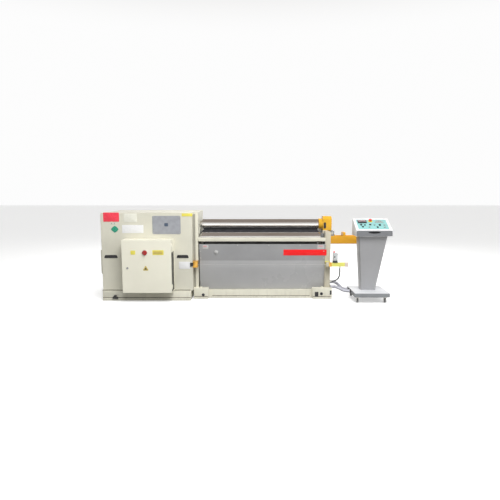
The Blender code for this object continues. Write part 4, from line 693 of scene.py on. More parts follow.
def finishes(paint):
    """Every finish of the machine and the console, by name."""
    cream = tuple(paint.cream)
    MATERIALS.update({
        "cream": coated_metal("cream machine paint", cream),
        "post": coated_metal("cream frame paint", cream, 0.4, 0.9, 0.45),
        # Painted light: the bed and the plinth take the cream made 17 percent paler, as if more brightly lit
        "bed": coated_metal("cream bed paint lit paler", tuple(part * 1.17 for part in cream), 0.4, 0.9, 0.45),
        # Painted shade: a darker copy of the cream for the idle frame
        "shaded idle post": coated_metal("cream idle frame paint darkened as shade", (0.58, 0.54, 0.43), 0.4, 0.9, 0.45),
        # Painted light: the cabinet takes the cream made a quarter paler, as if more brightly lit
        "door": coated_metal("cream cabinet paint lit paler", tuple(part * 1.255 for part in cream), 0.36, 0.3, 0.18,
            0.95),
        "pale patch": moulded("pale cream film", (0.82, 0.81, 0.71), 0.3, 1200.0, 0.00005, 0.97),
        "grey guard": guard_paint_material(tuple(paint.guard)),
        "hatch grey": moulded("hatch grey film", (0.36, 0.37, 0.4), 0.4, 700.0, 0.0002, 0.88),
        "roll": roll_steel_material("ground roll steel", (0.88, 0.87, 0.86), (0.78, 0.75, 0.72), 0.3),
        # Painted shade: a near black steel for the rolls that sit in the shade behind the top roll
        "shaded roll": cast_metal("roll steel darkened as painted shade", (0.072, 0.072, 0.082), 0.5, 0.5),
        "chrome": bare_metal("hard chrome", (0.74, 0.74, 0.76), 0.12, (900.0, 900.0, 6.0), 0.92, 0.05),
        "steel": bare_metal("turned bright steel", (0.62, 0.62, 0.63), 0.28),
        "wire": bare_metal("laid wire steel", (0.62, 0.62, 0.62), 0.45, (60.0, 60.0, 60.0)),
        "zinc": bare_metal("zinc plated steel", (0.7, 0.69, 0.64), 0.34, (60.0, 60.0, 60.0), 0.8),
        "dark steel": cast_metal("blackened steel", (0.055, 0.055, 0.06), 0.42, 0.6),
        "cast grey": cast_metal("machined cast grey", (0.34, 0.35, 0.36), 0.45, 0.5),
        "motor": coated_metal("blue grey motor paint", (0.13, 0.17, 0.21), 0.45, 0.8, 0.3),
        "drop yellow": coated_metal("drop end yellow paint", tuple(paint.drop_end), 0.33, 1.0, 0.25, 0.8),
        "beam yellow": coated_metal("rest beam amber paint", tuple(paint.rest_beam), 0.3, 0.8, 0.12, 0.86),
        "arm yellow": coated_metal("arm lemon paint", (0.84, 0.8, 0.19), 0.38, 0.8, 0.15, 0.88),
        "pale tip": coated_metal("arm pale tip paint", (0.78, 0.66, 0.58), 0.42, 0.8, 0.3, 0.85),
        "sign red": film("sign red film", (0.96, 0.05, 0.085), 0.3, 0.9, 0.2),
        "band red": film("guard band red film", (0.96, 0.006, 0.008), 0.4, 0.96),
        "sign green": film("sign green film", (0.02, 0.33, 0.2), 0.3, 0.85, 0.2),
        "sign yellow": film("sign yellow film", (0.86, 0.76, 0.12), 0.32, 0.93, 0.1),
        "sign amber": film("sign amber film", (0.64, 0.5, 0.12), 0.32, 0.9, 0.1),
        "sign white": film("sign white film", (0.86, 0.86, 0.86), 0.3, 0.95, 0.1),
        "sign pink": film("sign faded pink film", (0.72, 0.42, 0.42), 0.4, 0.8),
        "red": moulded("red switch plastic", (0.42, 0.012, 0.01), 0.32, 1000.0, 0.0001, 0.85, 0.3),
        "stop red": moulded("mushroom red plastic", (0.78, 0.05, 0.045), 0.3, 1000.0, 0.0001, 0.88, 0.3),
        "stop yellow": moulded("collar yellow plastic", (0.85, 0.66, 0.05), 0.38, 900.0, 0.0001, 0.9),
        "black": moulded("black plastic", (0.018, 0.018, 0.019), 0.42, 800.0, 0.0002, 0.75),
        "hose": moulded("hose rubber", (0.008, 0.008, 0.01), 0.62, 700.0, 0.0003, 0.7),
        "conduit": moulded("conduit grey plastic", (0.6, 0.6, 0.66), 0.42, 600.0, 0.0002, 0.86),
        "switch grey": moulded("switch light grey", (0.6, 0.62, 0.62), 0.42, 700.0, 0.0002, 0.85),
        # Dark brown: painted shadow along seams and above the foot lips, and also the dark print in the
        # door's triangle
        "shadow and print brown": moulded("painted shadow and print brown", (0.115, 0.095, 0.07), 0.6, 300.0, 0.0003, 0.7),
        # Painted shadow: the grey of the shade in the gap between the casing and the drive frame
        "painted shadow grey": moulded("painted recess shadow grey", (0.34, 0.325, 0.28), 0.5, 500.0, 0.0002, 0.85),
        # Painted shade: a dark grey for a face that stands in shade
        "painted shade dark grey": moulded("dark grey painted shade", (0.13, 0.13, 0.13), 0.6, 500.0, 0.0003, 0.8),
        "latch blue": moulded("latch blue grey plastic", (0.085, 0.115, 0.17), 0.4, 900.0, 0.0001, 0.85),
        "sticker grey": film("sticker grey film", (0.56, 0.56, 0.55), 0.34, 0.9),
        "head grey": coated_metal("head lip grey paint", (0.19, 0.195, 0.205), 0.38, 0.2, 0.1, 0.95),
        "castor grey": moulded("castor grey rubber", (0.3, 0.3, 0.3), 0.6, 500.0, 0.0003, 0.8),
        "key grey": moulded("key grey green plastic", (0.3, 0.42, 0.4), 0.38, 900.0, 0.0001, 0.85),
        "console grey": coated_metal("console grey paint", tuple(paint.console), 0.38, 0.35, 0.25, 0.93,
            0.16),
        "console top lit": base_paint_material(),
        "console white": coated_metal("console white paint", (0.8, 0.8, 0.8), 0.34, 0.3, 0.15, 0.97),
        "turquoise": moulded("turquoise panel film", tuple(paint.panel), 0.26, 1100.0, 0.00006, 0.93, 0.3),
        "display dark": display_material("dark display", (0.055, 0.07, 0.075), 0.0),
        "display pale": display_material("grey green display", (0.4, 0.47, 0.45), 0.05),
        "display rose": display_material("rose display", (0.5, 0.36, 0.38), 0.05),
        "amber": gilt_steel_material(),
    })


# Sizes, colours and the stage, as a user would change them


def colour_setting(name, description, default):
    """A colour that a user would change."""
    return bpy.props.FloatVectorProperty(name=name, description=description, subtype="COLOR", size=3,
        min=0, max=1, default=default)


def length_setting(name, description, least, most, default):
    """A length that a user would change."""
    return bpy.props.FloatProperty(name=name, description=description, unit="LENGTH", min=least, max=most,
        default=default)


class RollingPaint(bpy.types.PropertyGroup):
    """Colours of the machine and the console."""

    cream: colour_setting("Cream", "Paint of the casing and the frames", (0.735, 0.715, 0.6))
    guard: colour_setting("Guard", "Paint of the folded guard panels", (0.35, 0.35, 0.355))
    drop_end: colour_setting("Drop end", "Paint of the drop-end housing", (0.81, 0.445, 0.028))
    rest_beam: colour_setting("Rest beam", "Paint of the drop end's rest beam", (0.85, 0.42, 0.028))
    console: colour_setting("Console", "Paint of the console's column", (0.43, 0.43, 0.44))
    panel: colour_setting("Control panel", "Film on the control panel", (0.29, 0.585, 0.57))


class RollingSizes(bpy.types.PropertyGroup):
    """Sizes of the finish that a user would change."""

    casting_round: length_setting("Plate edge", "Rounding of the frames' edges", 0.0005, 0.004, 0.0022)
    sheet_round: length_setting("Sheet edge", "Rounding of the covers' cut edges", 0.0002, 0.0015, 0.0008)
    fold_radius: length_setting("Fold radius", "Outer radius of a fold in a cover", 0.004, 0.02, 0.009)
    plate_thickness: length_setting("Plate thickness", "Thickness of the blank plates", 0.0008, 0.004, 0.0016)
    rib_pitch: length_setting("Rib pitch", "Distance between the conduits' ribs", 0.004, 0.012, 0.008)
    roll_chamfer: length_setting("Roll chamfer", "Chamfer at the ends of a roll's body", 0.001, 0.006, 0.003)


class RollingStage(bpy.types.PropertyGroup):
    """The camera, the floor and the lights."""

    camera_place: bpy.props.FloatVectorProperty(name="Camera", description="Where the camera stands",
        subtype="TRANSLATION", size=3, default=(-0.14, -6.186, 1.3685))
    camera_dip: bpy.props.FloatProperty(name="Camera dip", description="How far the camera looks down",
        subtype="ANGLE", default=math.radians(7.235))
    lens: bpy.props.FloatProperty(name="Lens",
        description="Focal length on a 36 mm sensor, in millimetres", min=10, max=200, default=33.12)
    floor: colour_setting("Floor", "Colour of the floor", (0.8, 0.8, 0.79))
    daylight: bpy.props.FloatProperty(name="Daylight", description="Strength of the even light all round",
        min=0, max=2, default=0.4)
    key_power: bpy.props.FloatProperty(name="Key lamp", description="Power of the main soft lamp",
        subtype="POWER", min=0, max=2000, default=330)


# Half a roll's body and the height of the top roll's axis, then places that the loaded model gives
ROLL_HALF = 0.775
TOP_ROLL_Z = 0.939
ROLL_RADIUS = (high("top_roll")[2] - low("top_roll")[2]) / 2
CASING_LOW = low("casing_front_cover")
CASING_SKIN = CASING_LOW[1] - HAIR
HATCH_SKIN = CASING_LOW[1] - 0.0034
DOOR_LOW, DOOR_HIGH = span("cabinet_door")


class ROLLING_OT_stage(bpy.types.Operator):
    """Set the camera, the pale floor and the soft studio light"""

    bl_idname = "rolling.stage"
    bl_label = "Stage"

    def execute(self, context):
        stage = context.scene.rolling_stage
        lens = bpy.data.cameras.new("photo camera")
        lens.lens = stage.lens
        lens.sensor_width = 36.0
        camera = bpy.data.objects.new("photo camera", lens)
        camera.location = stage.camera_place
        camera.rotation_euler = (math.pi / 2 - stage.camera_dip, 0, 0)
        context.scene.collection.objects.link(camera)
        context.scene.camera = camera
        context.scene.view_settings.view_transform = "Standard"

        reach = 40.0
        floor = put("floor", ((-reach, -reach, 0), (reach, -reach, 0), (reach, reach, 0), (-reach, reach, 0)),
                    [(0, 1, 2, 3)])
        floor.location.z = -HAIR
        material, tree, surface, place = shader("pale floor", 0.55)
        speckle = ranged(tree, noise(tree, place, 3.0, 5.0), 0.3, 0.7)
        seen = seen_rays(tree)
        pale = shaded(tree, speckle, stage.floor, 0.97)
        feed(tree, surface, Base_Color=mixed(tree, seen, (0.22, 0.22, 0.215, 1), pale))
        surface.inputs["Emission Color"].default_value = (1, 1, 1, 1)
        feed(tree, surface, Emission_Strength=maths(tree, "MULTIPLY", seen, 0.45))
        floor.data.materials.append(material)

        world = bpy.data.worlds.new("studio")
        context.scene.world = world
        world.use_nodes = True
        tree = world.node_tree
        tree.nodes.clear()
        seen = seen_rays(tree)
        light = linked(tree, "ShaderNodeBackground", None, Color=(0.98, 0.99, 1.0, 1),
            Strength=stage.daylight)
        direction = linked(tree, "ShaderNodeTexCoord").outputs["Generated"]
        rise = linked(tree, "ShaderNodeSeparateXYZ", None, n0=direction).outputs[2]
        sky = mixed(tree, ranged(tree, rise, 0.3, 0.6), (0.98, 0.98, 0.98, 1), (0.3, 0.26, 0.23, 1))
        backdrop = linked(tree, "ShaderNodeBackground", None, Color=sky, Strength=1.0)
        both = linked(tree, "ShaderNodeMixShader", None, n0=seen, n1=light.outputs[0], n2=backdrop.outputs[0])
        output = linked(tree, "ShaderNodeOutputWorld")
        feed(tree, output, Surface=both.outputs[0])

        lamps = (("key lamp", (0.5, -3.9, 5.0), (-0.2, 0.0, 0.5), 3.2, 1.0),
                 ("right lamp", (3.8, -3.8, 3.2), (0.0, 0.0, 0.5), 3.0, 0.16),
                 ("rear lamp", (0.5, 4.4, 3.8), (0.0, 0.0, 0.6), 3.4, 0.6))
        for name, place, target, size, share in lamps:
            data = bpy.data.lights.new(name, "AREA")
            data.shape = "SQUARE"
            data.size = size
            data.energy = stage.key_power * share
            lamp = bpy.data.objects.new(name, data)
            lamp.location = place
            lamp.visible_glossy = name == "right lamp"
            lamp.rotation_euler = (Vector(target) - Vector(place)).to_track_quat("-Z", "Y").to_euler()
            context.scene.collection.objects.link(lamp)
        return {"FINISHED"}


# Cords: the routes of the free conduits and the hose, point by point as the model has them
CONDUIT_RADIUS = 0.019
CONDUIT_GROOVE = 0.0158
CONDUIT_BORE = 0.013
UPPER_ROUTE = ((0.9073, -0.225, 0.19), (0.926, -0.225, 0.19), (0.945, -0.225, 0.19),
               (0.975, -0.2275, 0.185), (1.01, -0.235, 0.166), (1.045, -0.243, 0.13),
               (1.075, -0.248, 0.108), (1.102, -0.25, 0.101), (1.121, -0.25, 0.101),
               (1.1397, -0.25, 0.101))
LOWER_ROUTE = ((0.9073, -0.29, 0.14), (0.926, -0.29, 0.14), (0.945, -0.29, 0.14),
               (0.975, -0.298, 0.138), (1.01, -0.323, 0.128), (1.045, -0.355, 0.113),
               (1.075, -0.373, 0.103), (1.102, -0.38, 0.101), (1.121, -0.38, 0.101),
               (1.1397, -0.38, 0.101))
HOSE_RADIUS = 0.008
HOSE_ROUTE = ((1.0000, -0.42, 0.4267), (1.0000, -0.42, 0.415), (1.001, -0.416, 0.39),
              (1.004, -0.406, 0.362), (1.006, -0.392, 0.336), (1.007, -0.375, 0.308),
              (1.005, -0.357, 0.282), (0.998, -0.337, 0.257), (0.983, -0.319, 0.236),
              (0.958, -0.305, 0.22), (0.927, -0.298, 0.213), (0.8953, -0.297, 0.212))


class ROLLING_OT_conduits(bpy.types.Operator):
    """Lay the two corrugated conduits between the machine and the console, with their gland nuts"""

    bl_idname = "rolling.conduits"
    bl_label = "Conduits"

    def execute(self, context):
        pitch = context.scene.rolling_sizes.rib_pitch
        for name, node, route in (("ribbed_upper_conduit", "upper_conduit", UPPER_ROUTE),
                ("ribbed_lower_conduit", "lower_conduit", LOWER_ROUTE)):
            travel = smooth_path(route, 64)[1]
            count = int(travel / pitch * 8)
            path, length = smooth_path(route, count)
            along = np.linspace(0, length, count)
            wave = np.sqrt(np.clip(0.5 - 0.5 * np.cos(TAU * along / pitch), 0, 1))
            radii = CONDUIT_GROOVE + (CONDUIT_RADIUS - CONDUIT_GROOVE) * wave
            cuff = (along < 2 * CONDUIT_RADIUS) | (along > length - 2 * CONDUIT_RADIUS)
            radii = np.where(cuff, CONDUIT_RADIUS, radii)
            circle = circles(path, (0, 0, 1), 24)
            outer = path[:, None] + radii[:, None, None] * circle
            inner = (path[:, None] + CONDUIT_BORE * circle)[::-8]
            ends = (path[:, None] + CONDUIT_BORE * circle)[[-1, 0]]
            piece = loft(name, np.concatenate([outer, ends[:1], inner[1:-1], ends[1:]]), closed_path=True)
            finished(piece, "conduit", node)
            for number, (end, away, corner) in enumerate(((route[0], 1, 0.0308), (route[-1], -1, 0.0284))):
                start = np.array(end) - (away * 0.0115, 0, 0)
                nut = turned(f"{name}_nut_{number}", ((0.0175, 0), (corner, 0), (corner, 0.008),
                    (corner - 0.002, 0.0105), (0.0175, 0.0105)), start, (away, 0, 0), 6)
                finished(rounded(nut, 0.0008), "black")
        return {"FINISHED"}


class ROLLING_OT_hose(bpy.types.Operator):
    """Hang the hydraulic hose from the arm to the idle frame, with its crimped ends"""

    bl_idname = "rolling.hose"
    bl_label = "Hose"

    def execute(self, context):
        path, length = smooth_path(HOSE_ROUTE, 120)
        piece = loft("looped_hose", path[:, None] + HOSE_RADIUS * circles(path, (0, 1, 0), 20))
        finished(piece, "hose", "drop_end_hose")
        ferrule = ((HOSE_RADIUS + HAIR, 0), (0.0115, 0), (0.0115, 0.004), (0.0105, 0.006), (0.0105, 0.009),
                   (0.0115, 0.011), (0.0115, 0.02), (0.01, 0.024), (HOSE_RADIUS + HAIR, 0.024))
        upper = turned("hose_upper_ferrule", ferrule, HOSE_ROUTE[0], (0, 0, -1), 24)
        lower = turned("hose_lower_ferrule", ferrule, HOSE_ROUTE[-1], (1, 0, 0), 24)
        finished(joined("hose_ferrules", upper, lower), "zinc")
        return {"FINISHED"}


def roll_profile(left, left_radius, right, right_radius, body, radius, chamfer):
    """A roll from its left end to its right: necks with a shoulder ring, body with chamfered ends."""
    ring = 0.55 * radius + 0.45 * max(left_radius, right_radius)
    ends = ((0, left), (left_radius - 0.002, left), (left_radius, left + 0.002), (left_radius, -body - 0.01),
            (ring, -body - 0.008), (ring, -body))
    middle = ((radius - chamfer, -body), (radius, -body + chamfer), (radius, body - chamfer),
              (radius - chamfer, body))
    ring = 0.55 * radius + 0.45 * right_radius
    tail = ((ring, body), (ring, body + 0.008), (right_radius, body + 0.01), (right_radius, right - 0.002),
            (right_radius - 0.002, right), (0, right))
    return np.array(ends + middle + tail)


class ROLLING_OT_rolls(bpy.types.Operator):
    """Turn the four ground rolls with their shoulders and chamfers"""

    bl_idname = "rolling.rolls"
    bl_label = "Rolls"

    def execute(self, context):
        chamfer = context.scene.rolling_sizes.roll_chamfer
        necks = (("top_roll", "top_roll_body", 0.0425), ("pinch_roll", "pinch_roll_body", 0.035),
                 ("front_side_roll", "front_roll_body", 0.035), ("rear_side_roll", "rear_roll_body", 0.035))
        for node, ride, left_radius in necks:
            lowest, highest = span(node)
            middle = (lowest + highest) / 2
            profile = roll_profile(lowest[0], left_radius, highest[0], 0.035, ROLL_HALF, ROLL_RADIUS, chamfer)
            piece = turned(f"ground_{node}", profile, (0, middle[1], middle[2]), (1, 0, 0), 96)
            # The pinch and rear side rolls take the dark steel: painted shade of the gap between the rolls
            steel = "roll" if node in ("top_roll", "front_side_roll") else "shaded roll"
            finished(piece, steel, node, body=ride)
        return {"FINISHED"}


class ROLLING_OT_frames(bpy.types.Operator):
    """Round the edges of the two side frames"""

    bl_idname = "rolling.frames"
    bl_label = "Side frames"

    def execute(self, context):
        width = context.scene.rolling_sizes.casting_round
        for node, finish in (("drive_side_frame", "post"), ("idle_side_frame", "shaded idle post")):
            coated_copy(f"painted_{node}", node, finish, width)
        lowest = low("drive_side_frame")
        cover = slab("rear_slot_cover", (-0.84, 0.3205, 0.6), (-0.778, 0.3225, 0.69))
        finished(cover, "dark steel")
        # A grey strip on the drive frame's front, along the casing's edge: painted shadow of the casing in
        # the gap
        strip = terrace("frame_painted_shadow_strip", rounded_rectangle(0.023, 0.95, 0.003),
                        (lowest[0] + 0.0135, lowest[1] - HAIR, 0.61), "front", rim(0.0012, 0.0006))
        finished(strip, "painted shadow grey")
        return {"FINISHED"}


# The bed's side and ends between its feet, the feet's inner ends, and the lips along the floor
BED_SIDE = 0.3305
BED_LEFT = -0.675
BED_RIGHT = 0.663
FOOT_LEFT = -0.68
FOOT_RIGHT = 0.668
BED_LIP = 0.022
PLINTH_LIP = 0.032
LIP_REACH = 0.011
SHADOW_LINE_RISE = 0.008


def foot_lip(name, start, end, y, facing, rise):
    """The lip that runs along the foot of a beam, from the floor up."""
    outline = rounded_rectangle(end - start, rise, 0.003)
    return terrace(name, outline, ((start + end) / 2, y + math.copysign(HAIR, y), rise / 2 + HAIR), facing,
                   rim(LIP_REACH, 0.0025))


def foot_shadow_line(name, start, end, y, facing, rise):
    """A painted shadow line just above a foot lip: a thin dark strip along the top of the lip."""
    outline = rounded_rectangle(end - start, SHADOW_LINE_RISE, 0.0015)
    return terrace(name, outline, ((start + end) / 2, y + math.copysign(HAIR, y), rise + SHADOW_LINE_RISE / 2),
        facing, rim(0.001, 0.0005))


# Painted shade of the pockets cast in the bed's idle foot, laid as flat black plates: middle X and Z, width
# and height
FOOT_POCKET_SHADES = ((0.718, 0.055, 0.046, 0.066), (0.899, 0.078, 0.022, 0.056))


class ROLLING_OT_bed(bpy.types.Operator):
    """Round the welded bed, and add its washers, nuts, foot gussets and the lip along its foot"""

    bl_idname = "rolling.bed"
    bl_label = "Bed"

    def execute(self, context):
        width = context.scene.rolling_sizes.casting_round
        coated_copy("painted_bed", "bed_frame", "bed", width)
        bed_low, bed_high = span("bed_frame")
        nuts = []
        for side in (-1, 1):
            for x, z in ((-0.742, 0.05), (0.78, 0.064)):
                nuts.append(hex_bolt("foot_bolt", (x, side * (bed_high[1] + HAIR), z), (0, side, 0), 0.014,
                    0.013))
        finished(joined("foot_bolts", *nuts), "dark steel")
        for side, label, facing in ((-1, "front", "front"), (1, "rear", "back")):
            pocket_shades = [terrace("foot_pocket_shade", rounded_rectangle(width, height, 0.006),
                (x, side * (bed_high[1] + HAIR), z), facing, rim(0.0012, 0.0006))
                for x, z, width, height in FOOT_POCKET_SHADES]
            finished(joined(f"{label}_foot_pocket_shades", *pocket_shades), "black")
            y = side * BED_SIDE
            foot_y = side * bed_high[1]
            # The lips, then thin dark strips above them that are painted shadow lines
            for kind, maker, finish, inset in (("lips", foot_lip, "bed", 0.0),
                    ("grooves", foot_shadow_line, "shadow and print brown", 0.001)):
                runs = ((BED_LEFT + inset, BED_RIGHT - inset, y),
                        (bed_low[0] + 0.002 + inset, FOOT_LEFT - inset, foot_y),
                        (FOOT_RIGHT + inset, bed_high[0] - 0.002 - inset, foot_y))
                strips = [maker(f"{kind}_{number}", *run, facing, BED_LIP) for number, run in enumerate(runs)]
                finished(joined(f"{label}_bed_{kind}", *strips), finish)
            for number, x in enumerate((BED_LEFT, BED_RIGHT)):
                sign = 1 if x < 0 else -1
                reach = 0.05 if x < 0 else 0.03
                outline = ((0, 0.012), (sign * reach, 0.012), (sign * reach, 0.02), (sign * 0.008, 0.095),
                    (0, 0.095))
                gusset = carried(f"{label}_gusset_{number}", outline, min(y, y + side * 0.01),
                    max(y, y + side * 0.01), "y", (x, 0, 0))
                finished(rounded(gusset, 0.0015), "bed")
        return {"FINISHED"}


class ROLLING_OT_tie_beams(bpy.types.Operator):
    """Lay the two tie beams with rounded edges, and the dark strip on the rear one"""

    bl_idname = "rolling.tie_beams"
    bl_label = "Tie beams"

    def execute(self, context):
        for node in ("front_tie_beam", "rear_tie_beam"):
            lowest, highest = span(node)
            y = (lowest[1] + highest[1]) / 2
            outline = rounded_rectangle(highest[1] - lowest[1], highest[2] - lowest[2], 0.006, 4)
            beam = carried(f"painted_{node}", outline, lowest[0], highest[0], "x",
                           (0, y, (lowest[2] + highest[2]) / 2))
            finished(beam, "post", node)
        lowest, highest = span("rear_tie_beam")
        # A dark strip standing up on the rear tie beam: painted shade between the rolls, and it hides the
        # backdrop behind them
        strip = slab("rear_shade_strip", (lowest[0] + 0.004, highest[1] - 0.014, highest[2] + HAIR),
                     (highest[0] - 0.004, highest[1] - 0.006, highest[2] + 0.074))
        finished(rounded(strip, 0.002), "dark steel")
        return {"FINISHED"}


# The guards' section: |Y| and Z of the apron's top, its two folds and its foot
APRON_TOP = -low("front_guard_panel")[1], high("front_guard_panel")[2]
APRON_FOLD = 0.315, 0.49
LOWER_FOLD = 0.3085, 0.4
GUARD_FOOT = 0.264, low("front_guard_panel")[2]
GUARD_FLANGE = 0.03
GUARD_SHEET = 0.004
APRON_SLOPE = math.atan2(APRON_TOP[0] - APRON_FOLD[0], APRON_TOP[1] - APRON_FOLD[1])
APRON_FACING = (X, np.array((0.0, -math.sin(APRON_SLOPE), math.cos(APRON_SLOPE))),
                np.array((0.0, -math.cos(APRON_SLOPE), -math.sin(APRON_SLOPE))))


def on_apron(x, z, lift=0.0):
    """A point on the front guard's apron at a height, raised a little off the sheet."""
    y = APRON_FOLD[0] + (z - APRON_FOLD[1]) * math.tan(APRON_SLOPE)
    return np.array((x, -y, z)) + (HAIR + lift) * APRON_FACING[2]


class ROLLING_OT_guards(bpy.types.Operator):
    """Fold the sheet guards, and fit the blank red band, small blank stickers, knob and screws"""

    bl_idname = "rolling.guards"
    bl_label = "Guard panels"

    def execute(self, context):
        sizes = context.scene.rolling_sizes
        for node, side in (("front_guard_panel", -1), ("rear_guard_panel", 1)):
            corners = np.array((APRON_TOP, APRON_FOLD, LOWER_FOLD, GUARD_FOOT,
                (GUARD_FOOT[0] - GUARD_FLANGE, GUARD_FOOT[1]))) * (side, 1)
            line = rounded_line(corners, (0.02, 0.03, 0.008))
            panel = carried(f"folded_{node}", sheet_outline(line, -side * GUARD_SHEET), low(node)[0],
                high(node)[0], "x")
            finished(rounded(panel, sizes.sheet_round, 2, 60), "grey guard", node)

        stuck = (("red_band", 0.566, 0.593, 0.554, 0.078, "band red"),
                 ("left_blank_sticker", -0.71, 0.665, 0.076, 0.052, "sticker grey"),
                 ("left_blank_mark", -0.716, 0.674, 0.046, 0.02, "sign pink"),
                 ("right_blank_sticker", 0.768, 0.664, 0.09, 0.05, "sticker grey"),
                 ("right_blank_mark", 0.764, 0.676, 0.06, 0.018, "sign pink"))
        for name, x, z, width, height, finish in stuck:
            lift = 0.0008 if name.endswith("mark") else 0.0
            outline = rounded_rectangle(width, height, 0.004)
            plate = terrace(name, outline, on_apron(x, z, lift), APRON_FACING, rim(0.0011, 0.0005))
            finished(plate, finish)

        knob = ((0.0, 0.0), (0.024, 0.0), (0.0265, 0.002), (0.0265, 0.004), (0.017, 0.006), (0.015, 0.01),
                (0.017, 0.013), (0.015, 0.0165), (0.009, 0.018), (0.0, 0.0185))
        finished(turned("guard_lift_knob", knob, on_apron(-0.573, 0.599), APRON_FACING[2], 32),
            "sticker grey")
        spots = [on_apron(x, z) for x in (-0.775, 0.808) for z in (0.52, 0.61)]
        spots += [on_apron(x, 0.69) for x in (-0.3, 0.1, 0.5)]
        finished(screw_heads("guard_screws", spots, APRON_FACING[2], 0.0055, 0.003), "zinc")
        return {"FINISHED"}


# Lifting gear: each guide's name and body, its rest Y and Z, its lean towards +Y in degrees, its block's
# tail, its idle collar's radius and its travel
GUIDES = (("pinch", "pinch_carriage", 0.0, 0.795, 0.0, 0.047, 0.05, 0.052),
          ("front_side", "front_carriage", -0.17, 0.775, 12.0, 0.12, 0.06, 0.16),
          ("rear_side", "rear_carriage", 0.17, 0.775, -12.0, 0.12, 0.06, 0.16))
BLOCK_HALF = 0.047
LIFT_STOP = 0.042
ROD_RADIUS = 0.018
ROD_ENGAGEMENT = 0.03
BARREL_RADIUS = 0.035
BARREL_BASE = 0.02
NECK_RADIUS = 0.035
DRIVE_MIDDLE = -0.835
IDLE_MIDDLE = 0.86


class ROLLING_OT_lifting_gear(bpy.types.Operator):
    """Build the bearing blocks with their collars and bright rods, and the lifting cylinders below them"""

    bl_idname = "rolling.lifting_gear"
    bl_label = "Lifting gear"

    def execute(self, context):
        for label, ride, y, z, lean, tail, collar, travel in GUIDES:
            slope = math.radians(lean)
            up = np.array((0.0, math.sin(slope), math.cos(slope)))
            across = np.array((0.0, math.cos(slope), -math.sin(slope)))
            along = X
            for side, middle, half in (("left", DRIVE_MIDDLE, 0.029), ("right", IDLE_MIDDLE, 0.034)):
                centre = np.array((middle, y, z))
                block = f"{label}_block_{side}"
                outline = rounded_rectangle(2 * BLOCK_HALF, BLOCK_HALF + tail, 0.006) + (0,
                    (BLOCK_HALF - tail) / 2)
                body = terrace(block, outline, centre, (across, up, along), bar(-half, half, 0.0015))
                parts = [body]
                if side == "right":
                    inner = -half - 0.04
                    parts.append(turned("collar", ((NECK_RADIUS, inner), (collar - 0.003, inner),
                        (collar, inner + 0.003), (collar, inner + 0.03), (collar - 0.004, inner + 0.034),
                        (BLOCK_HALF - 0.001, inner + 0.038), (BLOCK_HALF - 0.001, -half + 0.004),
                        (NECK_RADIUS, -half + 0.004)), centre, along, 64, ring=True))
                finished(joined(f"cast_{block}", *parts), "cast grey", block, body=ride)

                reach = travel + ROD_ENGAGEMENT
                rod = turned(f"bright_rod_{block}", ((0, -tail - reach), (ROD_RADIUS, -tail - reach),
                    (ROD_RADIUS, -tail + 0.004), (0, -tail + 0.004)), centre, up, 32)
                finished(rod, "chrome", body=ride)
                ring = [centre + along * (half + 0.0006) + 0.038 * (across * a + up * b)
                        for a, b in ((0.94, 0.94), (-0.94, 0.94), (0.94, -0.94), (-0.94, -0.94))]
                finished(screw_heads(f"cover_screws_{block}", ring, along, 0.0045, 0.003), "zinc", body=ride)
                cap = turned(f"bearing_cap_{block}", ((0, half), (0.0365, half), (0.0365, half + 0.0005),
                    (0.036, half + 0.0009), (0, half + 0.0009)), centre, along, 48)
                finished(cap, "steel", body=ride)

                length = reach + BARREL_BASE
                foot = centre - up * (LIFT_STOP + tail + length)
                barrel = ((0, 0), (0.034, 0), (BARREL_RADIUS, 0.001), (BARREL_RADIUS, 0.016),
                    (0.0325, 0.018), (0.0325, length - 0.018), (BARREL_RADIUS, length - 0.016),
                    (BARREL_RADIUS, length - 0.002), (0.033, length), (ROD_RADIUS + 0.006, length),
                    (ROD_RADIUS + 0.003, length - 0.002), (ROD_RADIUS + 0.0003, length - 0.002),
                    (ROD_RADIUS + 0.0003, BARREL_BASE), (0, BARREL_BASE))
                finished(turned(f"turned_{label}_cylinder_{side}", barrel, foot, up, 48), "dark steel",
                    f"{label}_cylinder_{side}")
        return {"FINISHED"}


GEARBOX_FACE = -0.8653
TANK_TOP = 0.4203


